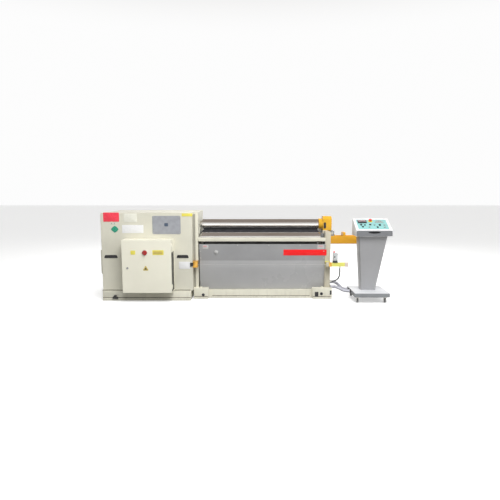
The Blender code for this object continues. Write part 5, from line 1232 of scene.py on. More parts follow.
class ROLLING_OT_drives(bpy.types.Operator):
    """Build the two gearmotors and the hydraulic power unit that stand inside the casing"""

    bl_idname = "rolling.drives"
    bl_label = "Drives"

    def execute(self, context):
        motors = (("top_gearmotor", MACHINE, TOP_ROLL_Z, 0.072, 0.058, 0.24, 0.42, 0.0428),
                  ("pinch_gearmotor", "pinch_carriage", 0.795, 0.046, 0.04, 0.15, 0.26, 0.0353))
        for node, ride, z, radius, rear, gearbox, length, bore in motors:
            start = (GEARBOX_FACE, 0, z)
            ribs = [(radius - 0.004 * (step % 2), 0.03 + 0.008 * step)
                for step in range(int((gearbox - 0.05) / 0.008))]
            profile = [(bore, 0), (radius - 0.002, 0), (radius, 0.002), (radius, 0.018),
                (radius - 0.006, 0.02)]
            profile += [(radius - 0.006, 0.028)] + ribs + [(radius - 0.004, gearbox), (rear, gearbox + 0.002)]
            profile += [(rear, length - 0.03), (rear - 0.006, length - 0.026), (rear - 0.006, length - 0.004),
                        (rear - 0.01, length), (0, length), (0, 0.062), (bore, 0.062)]
            piece = turned(f"ribbed_{node}", profile, start, (-1, 0, 0), 64)
            finished(piece, "motor", node, body=ride)
            heads = [(GEARBOX_FACE - gearbox - 0.001, (rear + radius) / 2 * math.cos(turn),
                z + (rear + radius) / 2 * math.sin(turn)) for turn in np.linspace(0, TAU, 8,
                endpoint=False)]
            finished(screw_heads(f"bolts_{node}", heads, (-1, 0, 0), 0.0035, 0.003, 6), "zinc", body=ride)
        coated_copy("painted_power_unit", "hydraulic_power_unit", "motor", 0.004)
        tank_low = low("hydraulic_power_unit")
        cap = turned("oil_filler_cap", ((0, 0), (0.026, 0), (0.026, 0.004), (0.02, 0.006), (0.02, 0.03),
            (0.024, 0.032), (0.024, 0.05), (0.02, 0.054), (0, 0.054)),
            (tank_low[0] + 0.06, -0.2, TANK_TOP + HAIR), (0, 0, 1), 32)
        finished(cap, "black")
        gauge = terrace("oil_level_gauge", rounded_rectangle(0.03, 0.13, 0.008), (tank_low[0] + 0.25,
                        tank_low[1] - HAIR, 0.3), "front", rim(0.012, 0.004))
        finished(gauge, "zinc")
        return {"FINISHED"}


# Blank plates on the casing's front and its grips: middle X and Z, then width and height or width alone
CASING_PLATES = (("red_blank_plate", -1.87, 1.0535, 0.197, 0.114, "sign red"),
                 ("cream_blank_patch", -1.631, 1.0435, 0.162, 0.109, "pale patch"),
                 ("white_blank_plate", -1.6055, 0.904, 0.267, 0.102, "sign white"),
                 ("yellow_blank_strip", -0.9235, 1.0815, 0.134, 0.037, "sign yellow"),
                 ("white_blank_label", -0.966, 0.446, 0.142, 0.092, "sign white"))
GRIPS = (("left", -1.89, 0.558, 0.175), ("right", -0.987, 0.558, 0.158))


CASING_HALF = 0.45
CASING_RETURN = 0.3
CASING_SHEET = 0.004
HATCH_X = -1.1825
HATCH_Z = 0.955


class ROLLING_OT_casing(bpy.types.Operator):
    """Fold the casing's covers, set them on the plinth, and fit grips, the grey hatch and blank plates"""

    bl_idname = "rolling.casing"
    bl_label = "Drive casing"

    def execute(self, context):
        sizes = context.scene.rolling_sizes
        for node, side in (("casing_front_cover", -1), ("casing_rear_cover", 1)):
            lowest, highest = span(node)
            line = rounded_line(((lowest[0], side * CASING_HALF), (highest[0], side * CASING_HALF),
                (highest[0], side * CASING_RETURN)), sizes.fold_radius)
            cover = carried(f"folded_{node}", sheet_outline(line, -side * CASING_SHEET), lowest[2],
                highest[2], "z")
            finished(rounded(cover, sizes.sheet_round, 2, 60), "cream", node)

        lowest, highest = span("casing_top_cover")
        middle = (lowest + highest) / 2
        outline = rounded_rectangle(highest[0] - lowest[0], highest[1] - lowest[1], sizes.fold_radius)
        top = terrace("rounded_top_cover", outline, (middle[0], middle[1], lowest[2]), "up",
                      rim(highest[2] - lowest[2], 0.003))
        finished(top, "cream", "casing_top_cover")

        lowest, highest = span("casing_end_cover")
        outline = rounded_rectangle(highest[1] - lowest[1], highest[2] - lowest[2], 0.003)
        end = terrace("end_sheet", outline, (highest[0], 0, (lowest[2] + highest[2]) / 2), "left",
                      rim(CASING_SHEET, 0.0015))
        outline = rounded_rectangle(0.3, 0.31, 0.012)
        hatch = terrace("end_hatch", outline, (highest[0] - CASING_SHEET, -0.288, 0.485), "left",
            ((0, -0.001), (0, 0.01), (0.0015, 0.0115), (0.006, 0.0155), (0.008, 0.0185), (0.011, 0.02)))
        finished(joined("pressed_end_cover", end, hatch), "cream", "casing_end_cover")

        coated_copy("welded_plinth", "casing_plinth", "bed", sizes.casting_round)
        lowest, highest = span("casing_plinth")
        for side, label in ((-1, "front"), (1, "rear")):
            y = side * highest[1]
            facing = "front" if side < 0 else "back"
            start, end = lowest[0] + 0.002, highest[0] - 0.002
            lip = foot_lip(f"{label}_plinth_lip", start, end, y, facing, PLINTH_LIP)
            finished(lip, "bed")
            # A thin dark strip above the plinth lip: painted shadow line
            shadow_line = foot_shadow_line(f"{label}_plinth_shadow_line", start, end, y, facing, PLINTH_LIP)
            finished(shadow_line, "shadow and print brown")
        # Thin dark strips along the seam at the casing's foot: painted shadow in the seam
        seam_shadows = [terrace("casing_seam_shadow", rounded_rectangle(end - start, 0.009, 0.002),
            ((start + end) / 2, CASING_SKIN, 0.127), "front", rim(0.001, 0.0005))
            for start, end in ((-2.02, -1.705), (-1.095, -0.895))]
        finished(joined("casing_foot_seam_shadows", *seam_shadows), "shadow and print brown")
        # A dark grey sheet over the casing's right return: painted shade of that face
        seal = slab("fold_painted_shade", (-0.889 + HAIR, -0.44, 0.125), (-0.887, -0.306, 1.098))
        finished(rounded(seal, 0.0006), "painted shade dark grey")

        for name, x, z, width, height, finish in CASING_PLATES:
            plate = terrace(name, rounded_rectangle(width, height, 0.005), (x, CASING_SKIN, z), "front",
                            rim(sizes.plate_thickness, 0.0007))
            finished(plate, finish)
        lozenge = terrace("green_blank_lozenge", oval(0.092, 0.082, 1.35), (-1.83, CASING_SKIN, 0.902),
            "front", rim(sizes.plate_thickness, 0.0004))
        finished(lozenge, "sign green")
        lamp = ((0, 0), (0.0085, 0), (0.0085, 0.002), (0.006, 0.003), (0.006, 0.006), (0.004, 0.0085),
            (0, 0.0092))
        dots = [turned("pilot_dot", lamp, (x, CASING_SKIN, 0.974), (0, -1, 0), 24) for x in (-1.865, -1.83)]
        finished(joined("pilot_dots", *dots), "key grey", slot="red_plastic")

        frame_outline = rounded_rectangle(0.352, 0.228, 0.015)
        hatch = terrace("grey_hatch", frame_outline, (HATCH_X, CASING_SKIN, HATCH_Z), "front",
            ((0, 0), (0, 0.0022), (0.0008, 0.003), (0.01, 0.003), (0.0105, 0.0026), (0.0115, 0.0026),
            (0.012, 0.003)))
        finished(hatch, "hatch grey")
        latch = terrace("hatch_latch", rounded_rectangle(0.046, 0.041, 0.008), (-1.186, HATCH_SKIN, 0.959),
                        "front", ((0, 0), (0, 0.002), (0.001, 0.003), (0.005, 0.003), (0.006, 0.0015)))
        finished(latch, "latch blue")
        corners = [(HATCH_X + a * 0.16, HATCH_SKIN, HATCH_Z + b * 0.101) for a in (-1, 1) for b in (-1, 1)]
        finished(screw_heads("hatch_screws", corners, (0, -1, 0), 0.0045, 0.0025), "zinc")

        for name, x, z, width in GRIPS:
            half = width / 2
            outline = rounded_line(((0, -0.019), (half, -0.019), (half - 0.016, 0.019),
                (0.016 - half, 0.019), (-half, -0.019), (0, -0.019)), 0.008)[:-1]
            cup = terrace(f"{name}_grip", outline, (x, CASING_SKIN, z), "front",
                ((0, 0), (0, 0.0035), (0.001, 0.005), (0.003, 0.0055), (0.005, 0.0045), (0.0058, 0.003),
                (0.0066, 0.0008)))
            finished(cup, "black")

        anchor = carried("plinth_anchor", ((-0.034, 0.0), (0.034, 0.0), (0.034, 0.012), (0.014, 0.022),
            (0.008, 0.044), (-0.016, 0.044), (-0.022, 0.03), (-0.034, 0.022)), -0.511, -0.481, "y",
            (-1.838, 0, 0.028))
        finished(rounded(anchor, 0.003), "black")
        return {"FINISHED"}


CABINET_X = -1.4
SWITCH_PLACE = -1.42, 0.632
SWITCH_HOLE = 0.0063
DOOR_RIM = 0.012
DOOR_WALL = 0.003
DOOR_CORNER = 0.004
DOOR_EDGE = 0.0026
LONG_EDGE = 0.05
# The door's blank plates by middle X and Z, width and height, and its triangles by reach and lift
DOOR_PLATES = (("yellow_blank_square", -1.562, 0.634, 0.057, 0.051, "sign yellow"),
               ("yellow_blank_strip_plate", -1.257, 0.634, 0.137, 0.06, "sign yellow"),
               ("amber_blank_inlay", -1.257, 0.634, 0.112, 0.032, "sign amber"))
DOOR_TRIANGLES = (("amber_blank_triangle", 0.043, 0.0, "sign amber"),
    ("dark_triangle_inlay", 0.02, 0.0016, "shadow and print brown"))
LOCK_X = -1.634
LOCK_Z = 0.442
DOOR_HINGE = -1.0925, -0.644
TRIANGLE_X = -1.412
TRIANGLE_Z = 0.434
BREAKERS = 11
BREAKER_PITCH = 0.036


def cut_up(outline, pieces):
    """A closed outline with each long edge cut into so many pieces."""
    points = []
    for start, end in zip(outline, np.roll(outline, -1, axis=0)):
        count = pieces if np.linalg.norm(end - start) > LONG_EDGE else 1
        points.append(start + (end - start) * np.arange(count)[:, None] / count)
    return np.concatenate(points)


def folded_door(name):
    """The door's sheet folded back round its rim, with the switch's round hole in its face."""
    middle = (DOOR_LOW + DOOR_HIGH) / 2
    width, depth, height = DOOR_HIGH - DOOR_LOW
    outer = cut_up(rounded_rectangle(width, height, DOOR_CORNER), 16)
    pocket = cut_up(rounded_rectangle(width - 2 * DOOR_RIM, height - 2 * DOOR_RIM, DOOR_CORNER), 16)
    centre = np.array(SWITCH_PLACE) - middle[[0, 2]]
    hole = centre + SWITCH_HOLE * unit(outer - centre)
    fold = rim(depth, DOOR_EDGE)
    section = [(flat, rise - depth) for flat, rise in zip(drawn_in(outer, fold[:, 0]), fold[:, 1])]
    section.append((drawn_in(outer, [DOOR_EDGE + 0.001])[0], 0.0))
    section += [(hole, 0.0), (hole, -DOOR_WALL), (pocket, -DOOR_WALL), (pocket, -depth)]
    across, up, out = FACINGS["front"]
    place = np.array((middle[0], DOOR_LOW[1], middle[2]))
    rings = [place + flat[:, :1] * across + flat[:, 1:] * up + lift * out for flat, lift in section]
    return loft(name, rings, closed_path=True)


class ROLLING_OT_cabinet(bpy.types.Operator):
    """Build the electrical cabinet: box, devices, hung door, lock, hinges, switch and blank plates"""

    bl_idname = "rolling.cabinet"
    bl_label = "Cabinet"

    def execute(self, context):
        sizes = context.scene.rolling_sizes
        face = DOOR_LOW[1]
        coated_copy("cabinet_box", "cabinet_shell", "door", 0.0012)
        finished(folded_door("pressed_door"), "door", "cabinet_door", body="door_body")
        # A thin black sheet on the cabinet's right side behind the door: painted shadow of the side face in
        # shade
        side_shadow = slab("cabinet_side_painted_shadow", (DOOR_HIGH[0] + HAIR, DOOR_HIGH[1] + 0.002, 0.15),
                   (DOOR_HIGH[0] + 0.0016, high("cabinet_shell")[1] - 0.02, 0.63))
        finished(side_shadow, "black")
        coated_copy("plated_mounting_plate", "cabinet_mounting_plate", "zinc", 0.0012)
        plate_low, plate_high = span("cabinet_mounting_plate")
        for row, rise in enumerate((-0.17, 0.0, 0.17)):
            breakers = []
            z = (plate_low[2] + plate_high[2]) / 2 + rise
            for number in range(BREAKERS):
                x = CABINET_X + (number - BREAKERS // 2) * BREAKER_PITCH
                breakers.append(terrace("breaker", rounded_rectangle(0.033, 0.07, 0.002, 2),
                    (x, plate_low[1] - HAIR, z), "front", rim(0.011, 0.001)))
                breakers.append(terrace("toggle", rounded_rectangle(0.012, 0.024, 0.004, 3),
                    (x, plate_low[1] - 0.011, z), "front", rim(0.008, 0.002)))
            finished(joined(f"breaker_row_{row}", *breakers), "switch grey")

        lock = ((0, 0), (0.013, 0), (0.013, 0.002), (0.0115, 0.0035), (0.008, 0.0035), (0.0075, 0.0015),
            (0.0045, 0.0015), (0.004, 0.003), (0, 0.0034))
        finished(turned("quarter_turn_lock", lock, (LOCK_X, face - HAIR, LOCK_Z), (0, -1, 0), 32),
            "cast grey", body="door_body")
        hinges = []
        for z in (DOOR_LOW[2] + 0.075, DOOR_HIGH[2] - 0.075):
            hinges.append(turned("hinge_barrel", ((0, -0.03), (0.0055, -0.03), (0.006, -0.029),
                (0.006, -0.0005), (0.0052, 0), (0.006, 0.0005), (0.006, 0.029), (0.0055, 0.03), (0, 0.03)),
                (*DOOR_HINGE, z), (0, 0, 1), 24))
        finished(joined("door_hinges", *hinges), "door", body="door_body")

        for name, x, z, width, height, finish in DOOR_PLATES:
            lift = sizes.plate_thickness if name.endswith("inlay") else 0.0
            plate = terrace(name, rounded_rectangle(width, height, 0.006), (x, face - HAIR - lift, z),
                "front", rim(0.0014, 0.0006))
            finished(plate, finish, body="door_body")
        for name, reach, lift, finish in DOOR_TRIANGLES:
            corners = arc((0, 0), reach, 90, 450, 3)
            foot = (corners[0] + corners[2]) / 2
            corners = np.concatenate([[foot], corners[[0, 1, 2]], [foot]])
            outline = rounded_line(corners, reach * 0.16, 4)[:-1]
            sign = terrace(name, outline, (TRIANGLE_X, face - HAIR - lift, TRIANGLE_Z), "front",
                rim(0.0014, 0.0006))
            finished(sign, finish, body="door_body")

        x, z = SWITCH_PLACE
        ring = turned("switch_escutcheon", ((0.0308, 0), (0.037, 0), (0.037, 0.0014), (0.0355, 0.0022),
            (0.0308, 0.0022)), (x, face - HAIR, z), (0, -1, 0), 48, ring=True)
        finished(ring, "pale patch", body="door_body")
        base = ((0, -0.0117), (0.006, -0.0117), (0.006, 0.0), (0.0295, 0.0), (0.03, 0.0008), (0.03, 0.008),
                (0.0275, 0.0115), (0.024, 0.0125), (0, 0.013))
        knob = turned("switch_disc", base, (x, face - 0.0003, z), (0, -1, 0), 48)
        handle = terrace("switch_handle", rounded_rectangle(0.015, 0.056, 0.006), (x, face - 0.011, z),
            "front", ((0, 0), (0, 0.012), (0.0008, 0.015), (0.003, 0.0172)))
        finished(joined("rotary_main_switch", knob, handle), "red", "main_switch", body="main_switch_body")
        return {"FINISHED"}


# The drop end's hinge, its pin's half length, its beam's foot plate and the housing's outer face
HINGE_X = 0.957
HINGE_Z = 0.818
PIN_HALF = 0.0553
BEAM_PLATE_FACE = 0.9053
HOUSING_FACE = 0.945


class ROLLING_OT_drop_end(bpy.types.Operator):
    """Build the drop end: housing, hinge bracket, ram and cylinder, and the rest beam with its bolts"""

    bl_idname = "rolling.drop_end"
    bl_label = "Drop end"

    def execute(self, context):
        coated_copy("cast_drop_end", "drop_end_housing", "drop yellow", 0.0016, body="drop_end_body")
        coated_copy("cast_hinge_bracket", "drop_end_hinge_bracket", "cast grey", 0.002)
        coated_copy("bright_ram", "drop_end_ram", "chrome", 0.0008, body="ram_body")
        coated_copy("painted_ram_cylinder", "drop_end_cylinder", "dark steel", 0.0015)
        coated_copy("welded_rest_beam", "drop_end_rest_beam", "beam yellow", 0.005, 4)
        bolts = []
        for y in (-0.088, 0.088):
            for z in (0.7, 0.757):
                bolts.append(hex_bolt("beam_bolt", (BEAM_PLATE_FACE + HAIR, y, z), (1, 0, 0), 0.009, 0.009))
        finished(joined("beam_bolts", *bolts), "dark steel")
        pins = []
        for side in (-1, 1):
            pins.append(turned("pin_washer", ((0, 0), (0.02, 0), (0.02, 0.0025), (0.014, 0.0035),
                (0.014, 0.007), (0.012, 0.009), (0, 0.009)), (HINGE_X, side * (PIN_HALF + HAIR), HINGE_Z),
                (0, side, 0), 32))
        finished(joined("hinge_pin_caps", *pins), "zinc")
        # A flat dark plate on the housing's front: painted shade of a bore
        bore_shade = terrace("dark_oval_bore_shade", rounded_rectangle(0.032, 0.083, 0.014),
            (0.855, low("drop_end_housing")[1] - HAIR, 0.923), "front", rim(0.0014, 0.0006))
        finished(bore_shade, "dark steel", body="drop_end_body")
        outer = HOUSING_FACE + HAIR
        cap = turned("housing_end_cap", ((0, 0), (0.044, 0), (0.046, 0.001), (0.046, 0.004),
            (0.044, 0.006), (0.02, 0.007), (0, 0.007)), (outer, 0, TOP_ROLL_Z), (1, 0, 0), 48)
        finished(cap, "drop yellow", body="drop_end_body")
        heads = [(outer + 0.0055, 0.036 * math.cos(turn), TOP_ROLL_Z + 0.036 * math.sin(turn))
                 for turn in np.linspace(0, TAU, 6, endpoint=False)]
        finished(screw_heads("cap_screws", heads, (1, 0, 0), 0.0045, 0.004), "dark steel",
            body="drop_end_body")
        return {"FINISHED"}


WIRE = span("trip_wire")
SWITCH_BODY = 0.122
ARM_Y = -0.42


class ROLLING_OT_trip_wire(bpy.types.Operator):
    """Stretch the trip wire between its anchor and the arm, and fit the rope-pull switch"""

    bl_idname = "rolling.trip_wire"
    bl_label = "Trip wire"

    def execute(self, context):
        (x0, y0, z0), (x1, y1, z1) = WIRE
        radius = (y1 - y0) / 2
        along = np.linspace(x0, x1, 520)[:, None]
        angle = np.linspace(0, TAU, 18, endpoint=False)[None]
        strands = radius * (0.9 + 0.1 * np.cos(6 * (angle - along * TAU / 0.045)))
        rings = np.stack([np.broadcast_to(along, strands.shape), (y0 + y1) / 2 + strands * np.cos(angle),
            (z0 + z1) / 2 + strands * np.sin(angle)], axis=-1)
        finished(loft("laid_trip_wire", rings), "wire", "trip_wire")

        lowest, highest = span("wire_anchor")
        coated_copy("anchor_bracket", "wire_anchor", "amber", 0.0025)
        middle = (lowest + highest) / 2
        wrap = terrace("anchor_black_end", rounded_rectangle(0.038, 0.046, 0.006), (-0.876, CASING_SKIN,
                       middle[2] + 0.004), "front", rim(0.012, 0.004))
        finished(wrap, "black")

        lowest, highest = span("wire_arm")
        coated_copy("painted_wire_arm", "wire_arm", "arm yellow", 0.0022)
        outline = rounded_rectangle(0.0405, highest[2] - lowest[2] + 0.004, 0.005)
        for name, start, length, finish in (("arm_pale_tip", highest[0] - 0.045, 0.0455, "pale tip"),
                                            ("arm_gold_root", lowest[0] + 0.0335, 0.036, "amber"),
                                            # The cream root takes the idle frame's cream, darkened as painted
                                            # shade
                                            ("arm_cream_root", lowest[0] - HAIR, 0.0335, "shaded idle post")):
            finished(terrace(name, outline, (start, ARM_Y, (lowest[2] + highest[2]) / 2), "right",
                bar(0.0, length, 0.002)), finish)

        lowest, highest = span("rope_switch")
        middle = (lowest + highest) / 2
        body_top = lowest[2] + SWITCH_BODY
        outline = rounded_rectangle(highest[0] - lowest[0], highest[1] - lowest[1], 0.008)
        body = terrace("switch_body", outline, (middle[0], middle[1], 0), "up",
            bar(lowest[2], body_top, 0.004))
        finished(body, "switch grey", "rope_switch")
        lid = terrace("switch_lid", rounded_rectangle(0.05, 0.08, 0.005), (middle[0], lowest[1] - HAIR,
                      lowest[2] + 0.072), "front", rim(0.004, 0.0015))
        finished(lid, "switch grey")
        hole = turned("switch_window", ((0, 0), (0.009, 0), (0.009, 0.001), (0.0075, 0.002), (0, 0.002)),
                      (middle[0] - 0.01, lowest[1] - HAIR - 0.004, lowest[2] + 0.074), (0, -1, 0), 24)
        finished(hole, "black")
        foot = terrace("switch_dark_foot", rounded_rectangle(highest[0] - lowest[0] + 0.002,
            highest[1] - lowest[1] + 0.002, 0.009), (middle[0], middle[1], lowest[2]), "up",
            bar(0, 0.025, 0.002))
        finished(foot, "dark steel")
        button_x = middle[0] - (highest[0] - lowest[0]) / 4
        button = ((0, 0), (0.007, 0), (0.007, 0.006), (0.0115, 0.009), (0.012, 0.013), (0.011, 0.019),
            (0.007, 0.023), (0, 0.0238))
        finished(turned("switch_red_button", button, (button_x, middle[1], body_top + 0.0002), (0, 0, 1),
            32), "stop red")
        return {"FINISHED"}


# Console: the panel's frame of axes lies on its slope
HEAD_LOW, HEAD_HIGH = span("console_head")
CONSOLE_X = (HEAD_LOW[0] + HEAD_HIGH[0]) / 2
HEAD_LIP = 0.072
FINGER_SLOT = 0.148, 0.025
SLOT_RISE = 0.047
HEAD_SLOPE = math.atan2(HEAD_HIGH[2] - HEAD_LOW[2] - HEAD_LIP, HEAD_HIGH[1] - HEAD_LOW[1])
PANEL_AXES = (X, np.array((0.0, math.cos(HEAD_SLOPE), math.sin(HEAD_SLOPE))),
              np.array((0.0, -math.sin(HEAD_SLOPE), math.cos(HEAD_SLOPE))))
PANEL_MIDDLE = np.array((CONSOLE_X, (HEAD_LOW[1] + HEAD_HIGH[1]) / 2,
    (HEAD_LOW[2] + HEAD_LIP + HEAD_HIGH[2]) / 2))
PANEL_FACE = -0.002


def on_panel(across, up, lift=0.0):
    """A point on the sloping panel: across, up its slope, and lifted off its face."""
    axes = PANEL_AXES
    return PANEL_MIDDLE + across * axes[0] + up * axes[1] + (PANEL_FACE + lift) * axes[2]


class ROLLING_OT_console(bpy.types.Operator):
    """Build the console's base, leaning column and wedge head with its finger slot"""

    bl_idname = "rolling.console"
    bl_label = "Console"

    def execute(self, context):
        coated_copy("painted_console_base", "console_base", "console top lit", 0.003)

        lowest, highest = span("console_column")
        share = np.linspace(0, 1, 9)[:, None]
        foot = np.array((0.092, -0.43, 0.15))
        top = np.array((0.175, -0.605, 0.17))
        level = foot + (top - foot) * share
        rings = []
        for (half, front, depth), z in zip(level, np.linspace(lowest[2], highest[2], 9)):
            outline = rounded_rectangle(2 * half, depth, 0.016, 5) + (CONSOLE_X, front + depth / 2)
            rings.append(np.column_stack([outline, np.full(len(outline), z)]))
        column = loft("pressed_column", rings)
        finished(column, "console grey", "console_column")

        coated_copy("wedge_head", "console_head", "console white", 0.003, 3)

        middle = np.array((CONSOLE_X, HEAD_LOW[1] - HAIR, HEAD_LOW[2] + HEAD_LIP / 2))
        border = oval(HEAD_HIGH[0] - HEAD_LOW[0] - 0.006, HEAD_LIP - 0.006, 14.0)
        slot = oval(*FINGER_SLOT, 2.0) + (0, SLOT_RISE - HEAD_LIP / 2)
        across, up, out = FACINGS["front"]
        rings = [middle + flat[:, :1] * across + flat[:, 1:] * up + lift * out
                 for flat, lift in ((border, 0.0), (border, 0.001), (slot, 0.001), (slot, 0.0))]
        lip = loft("head_lip_plate", rings, closed_path=True)
        finished(lip, "head grey")
        # A black cup in the finger slot: painted shade of the opening
        cup = terrace("finger_slot_shade_cup", oval(*FINGER_SLOT, 2.0) * 0.998,
            (CONSOLE_X, HEAD_LOW[1] - HAIR, HEAD_LOW[2] + SLOT_RISE), "front",
            ((0, -0.027), (0, 0.0008), (0.0008, 0.0008), (0.001, -0.026)))
        finished(cup, "black")
        return {"FINISHED"}


class ROLLING_OT_castors(bpy.types.Operator):
    """Build the four castor wheels with their tyres and hubs, and the swivelling forks"""

    bl_idname = "rolling.castors"
    bl_label = "Castors"

    def execute(self, context):
        for row in ("front", "rear"):
            for side in ("left", "right"):
                node = f"{row}_castor_wheel_{side}"
                lowest, highest = span(node)
                middle = (lowest + highest) / 2
                radius = (highest[2] - lowest[2]) / 2
                half = (highest[0] - lowest[0]) / 2
                tyre = ((0.0053, -0.008), (0.009, -0.009), (0.009, -half), (0.012, -half),
                    (0.013, -0.0065), (0.019, -0.0065), (0.021, -half + 0.0005), (radius - 0.004, -half),
                    (radius - 0.001, -half + 0.003), (radius, -0.004), (radius, 0.004),
                    (radius - 0.001, half - 0.003), (radius - 0.004, half), (0.021, half - 0.0005),
                    (0.019, 0.0065), (0.013, 0.0065), (0.012, half), (0.009, half), (0.009, 0.009),
                    (0.0053, 0.008))
                wheel = turned(f"rubber_{node}", tyre, middle, (1, 0, 0), 48, ring=True)
                finished(wheel, "castor grey", node, body=f"{row}_wheel_{side}_body")
        for side in ("left", "right"):
            node = f"front_castor_fork_{side}"
            coated_copy(f"pressed_{node}", node, "zinc", 0.0008, body=f"fork_{side}_body")
        return {"FINISHED"}


# Across the panel and up its slope: the emergency stop, the selector and the start button
STOP_PLACE = -0.01, 0.078
SELECTOR_PLACE = -0.138, -0.012
START_PLACE = -0.028, -0.012


class ROLLING_OT_controls(bpy.types.Operator):
    """Lay the turquoise panel with its displays, emergency stop, knobs and buttons"""

    bl_idname = "rolling.controls"
    bl_label = "Controls"

    def execute(self, context):
        panel = terrace("turquoise_panel", rounded_rectangle(0.372, 0.216, 0.005), on_panel(0, 0, -0.0037),
                        PANEL_AXES, rim(0.0037, 0.0008))
        finished(panel, "turquoise", "console_panel")

        bezel = ((0, 0), (0, 0.0025), (0.001, 0.0035), (0.0035, 0.0035), (0.0042, 0.0018))
        left = terrace("left_display_bezel", rounded_rectangle(0.112, 0.07, 0.006),
            on_panel(-0.114, 0.062, HAIR), PANEL_AXES, bezel)
        finished(left, "black")
        for name, height, rise, finish in (("left_display_upper", 0.027, 0.0785, "display rose"),
                ("left_display_lower", 0.028, 0.046, "display dark")):
            finished(terrace(name, rounded_rectangle(0.102, height, 0.002), on_panel(-0.114, rise, 0.0024),
                PANEL_AXES, rim(0.0008, 0.0003)), finish)

        dome = arc((0, -0.022), 0.056, 20, 160, 14)
        outline = np.concatenate([dome, ((-0.0526, -0.024), (0.0526, -0.024))])
        right = terrace("right_display_bezel", outline, on_panel(0.094, 0.056, HAIR), PANEL_AXES, bezel)
        finished(right, "key grey")
        screen = terrace("right_display_screen", outline * 0.86, on_panel(0.094, 0.056, 0.0024),
            PANEL_AXES, rim(0.0008, 0.0003))
        finished(screen, "display pale")

        facing = PANEL_AXES[2]
        collar = turned("stop_yellow_collar", ((0.0085, 0), (0.027, 0), (0.027, 0.0016), (0.025, 0.003),
            (0.0085, 0.0036)), on_panel(*STOP_PLACE, HAIR), facing, 48, ring=True)
        finished(collar, "stop yellow")
        stop = ((0, -0.016), (0.005, -0.016), (0.005, 0.0053), (0.015, 0.0053), (0.019, 0.0075),
            (0.02, 0.011), (0.02, 0.016), (0.0185, 0.0205), (0.014, 0.0235), (0.007, 0.025), (0, 0.0253))
        finished(turned("mushroom_stop", stop, on_panel(*STOP_PLACE), facing, 48), "stop red",
            "emergency_stop", body="emergency_stop_body")

        knob = ((0, -0.016), (0.005, -0.016), (0.005, 0.0003), (0.0135, 0.0003), (0.014, 0.001),
            (0.014, 0.005), (0.0125, 0.007), (0, 0.0072))
        disc = turned("selector_disc", knob, on_panel(*SELECTOR_PLACE), facing, 40)
        lever = terrace("selector_lever", rounded_rectangle(0.007, 0.027, 0.003),
            on_panel(*SELECTOR_PLACE, 0.006), PANEL_AXES, ((0, 0), (0, 0.008), (0.0008, 0.0098),
            (0.002, 0.0103)))
        finished(joined("selector_switch", disc, lever), "black", "selector_knob", body="selector_body")
        button = ((0, -0.016), (0.005, -0.016), (0.005, 0.0033), (0.0104, 0.0033), (0.011, 0.0042),
            (0.011, 0.0085), (0.0098, 0.0105), (0, 0.0113))
        finished(turned("start_push_button", button, on_panel(*START_PLACE), facing, 40), "black",
            "start_button", body="start_button_body")
        collar = turned("start_button_ring", ((0.0116, 0), (0.0145, 0), (0.0145, 0.002), (0.013, 0.0032),
            (0.0116, 0.0032)), on_panel(*START_PLACE, HAIR), facing, 40, ring=True)
        finished(collar, "zinc")

        keys = ((-0.094, -0.014, 0.0085), (0.024, -0.012, 0.01), (0.09, -0.014, 0.013),
            (0.148, -0.016, 0.011), (-0.126, -0.054, 0.01), (-0.048, -0.06, 0.0105),
            (0.054, -0.062, 0.0105), (0.138, -0.064, 0.012))
        for number, (across, up, radius) in enumerate(keys):
            cap = ((0, 0), (radius + 0.003, 0), (radius + 0.003, 0.0012), (radius + 0.0012, 0.0024),
                (radius, 0.0024), (radius, 0.007), (radius - 0.0015, 0.0086), (0, 0.0094))
            finished(turned(f"console_key_{number}", cap, on_panel(across, up, HAIR), facing, 36),
                "key grey" if number % 2 else "black", slot="black_plastic")
        return {"FINISHED"}


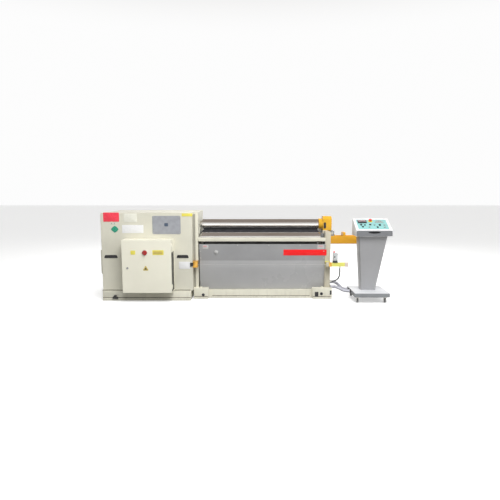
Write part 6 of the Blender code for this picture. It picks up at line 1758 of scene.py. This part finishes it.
class ROLLING_OT_finishes(bpy.types.Operator):
    """Mix every paint, metal, plastic and film of the machine and the console"""

    bl_idname = "rolling.finishes"
    bl_label = "Finishes"

    def execute(self, context):
        shared_groups()
        finishes(context.scene.rolling_paint)
        return {"FINISHED"}


class ROLLING_PT_sidebar(bpy.types.Panel):
    """The machine's sizes, colours and building steps"""

    bl_idname = "ROLLING_PT_sidebar"
    bl_label = "Rolling Machine"
    bl_space_type = "VIEW_3D"
    bl_region_type = "UI"
    bl_category = "Rolling Machine"

    def draw(self, context):
        layout = self.layout
        for group in (context.scene.rolling_paint, context.scene.rolling_sizes, context.scene.rolling_stage):
            box = layout.box()
            for name in group.bl_rna.properties.keys():
                if name not in ("rna_type", "name"):
                    box.prop(group, name)
        for operator in OPERATORS:
            layout.operator(operator.bl_idname)


GROUP_CLASSES = (RollingPaint, RollingSizes, RollingStage)
OPERATORS = (ROLLING_OT_stage, ROLLING_OT_finishes, ROLLING_OT_conduits, ROLLING_OT_hose, ROLLING_OT_rolls,
    ROLLING_OT_frames, ROLLING_OT_bed, ROLLING_OT_tie_beams, ROLLING_OT_guards, ROLLING_OT_lifting_gear,
    ROLLING_OT_drives, ROLLING_OT_casing, ROLLING_OT_cabinet, ROLLING_OT_drop_end, ROLLING_OT_trip_wire,
    ROLLING_OT_console, ROLLING_OT_castors, ROLLING_OT_controls)
CLASSES = GROUP_CLASSES + OPERATORS + (ROLLING_PT_sidebar,)


def register():
    """Register every class, and hang the property groups on the scene."""
    for entry in CLASSES:
        bpy.utils.register_class(entry)
    bpy.types.Scene.rolling_paint = bpy.props.PointerProperty(type=RollingPaint)
    bpy.types.Scene.rolling_sizes = bpy.props.PointerProperty(type=RollingSizes)
    bpy.types.Scene.rolling_stage = bpy.props.PointerProperty(type=RollingStage)


def unregister():
    """Take the property groups off the scene, and every class away."""
    del bpy.types.Scene.rolling_stage
    del bpy.types.Scene.rolling_sizes
    del bpy.types.Scene.rolling_paint
    for entry in reversed(CLASSES):
        bpy.utils.unregister_class(entry)


def main():
    """Build everything in order."""
    register()
    for operator in OPERATORS:
        getattr(bpy.ops.rolling, operator.bl_idname.partition(".")[2])()


if __name__ == "__main__":
    main()
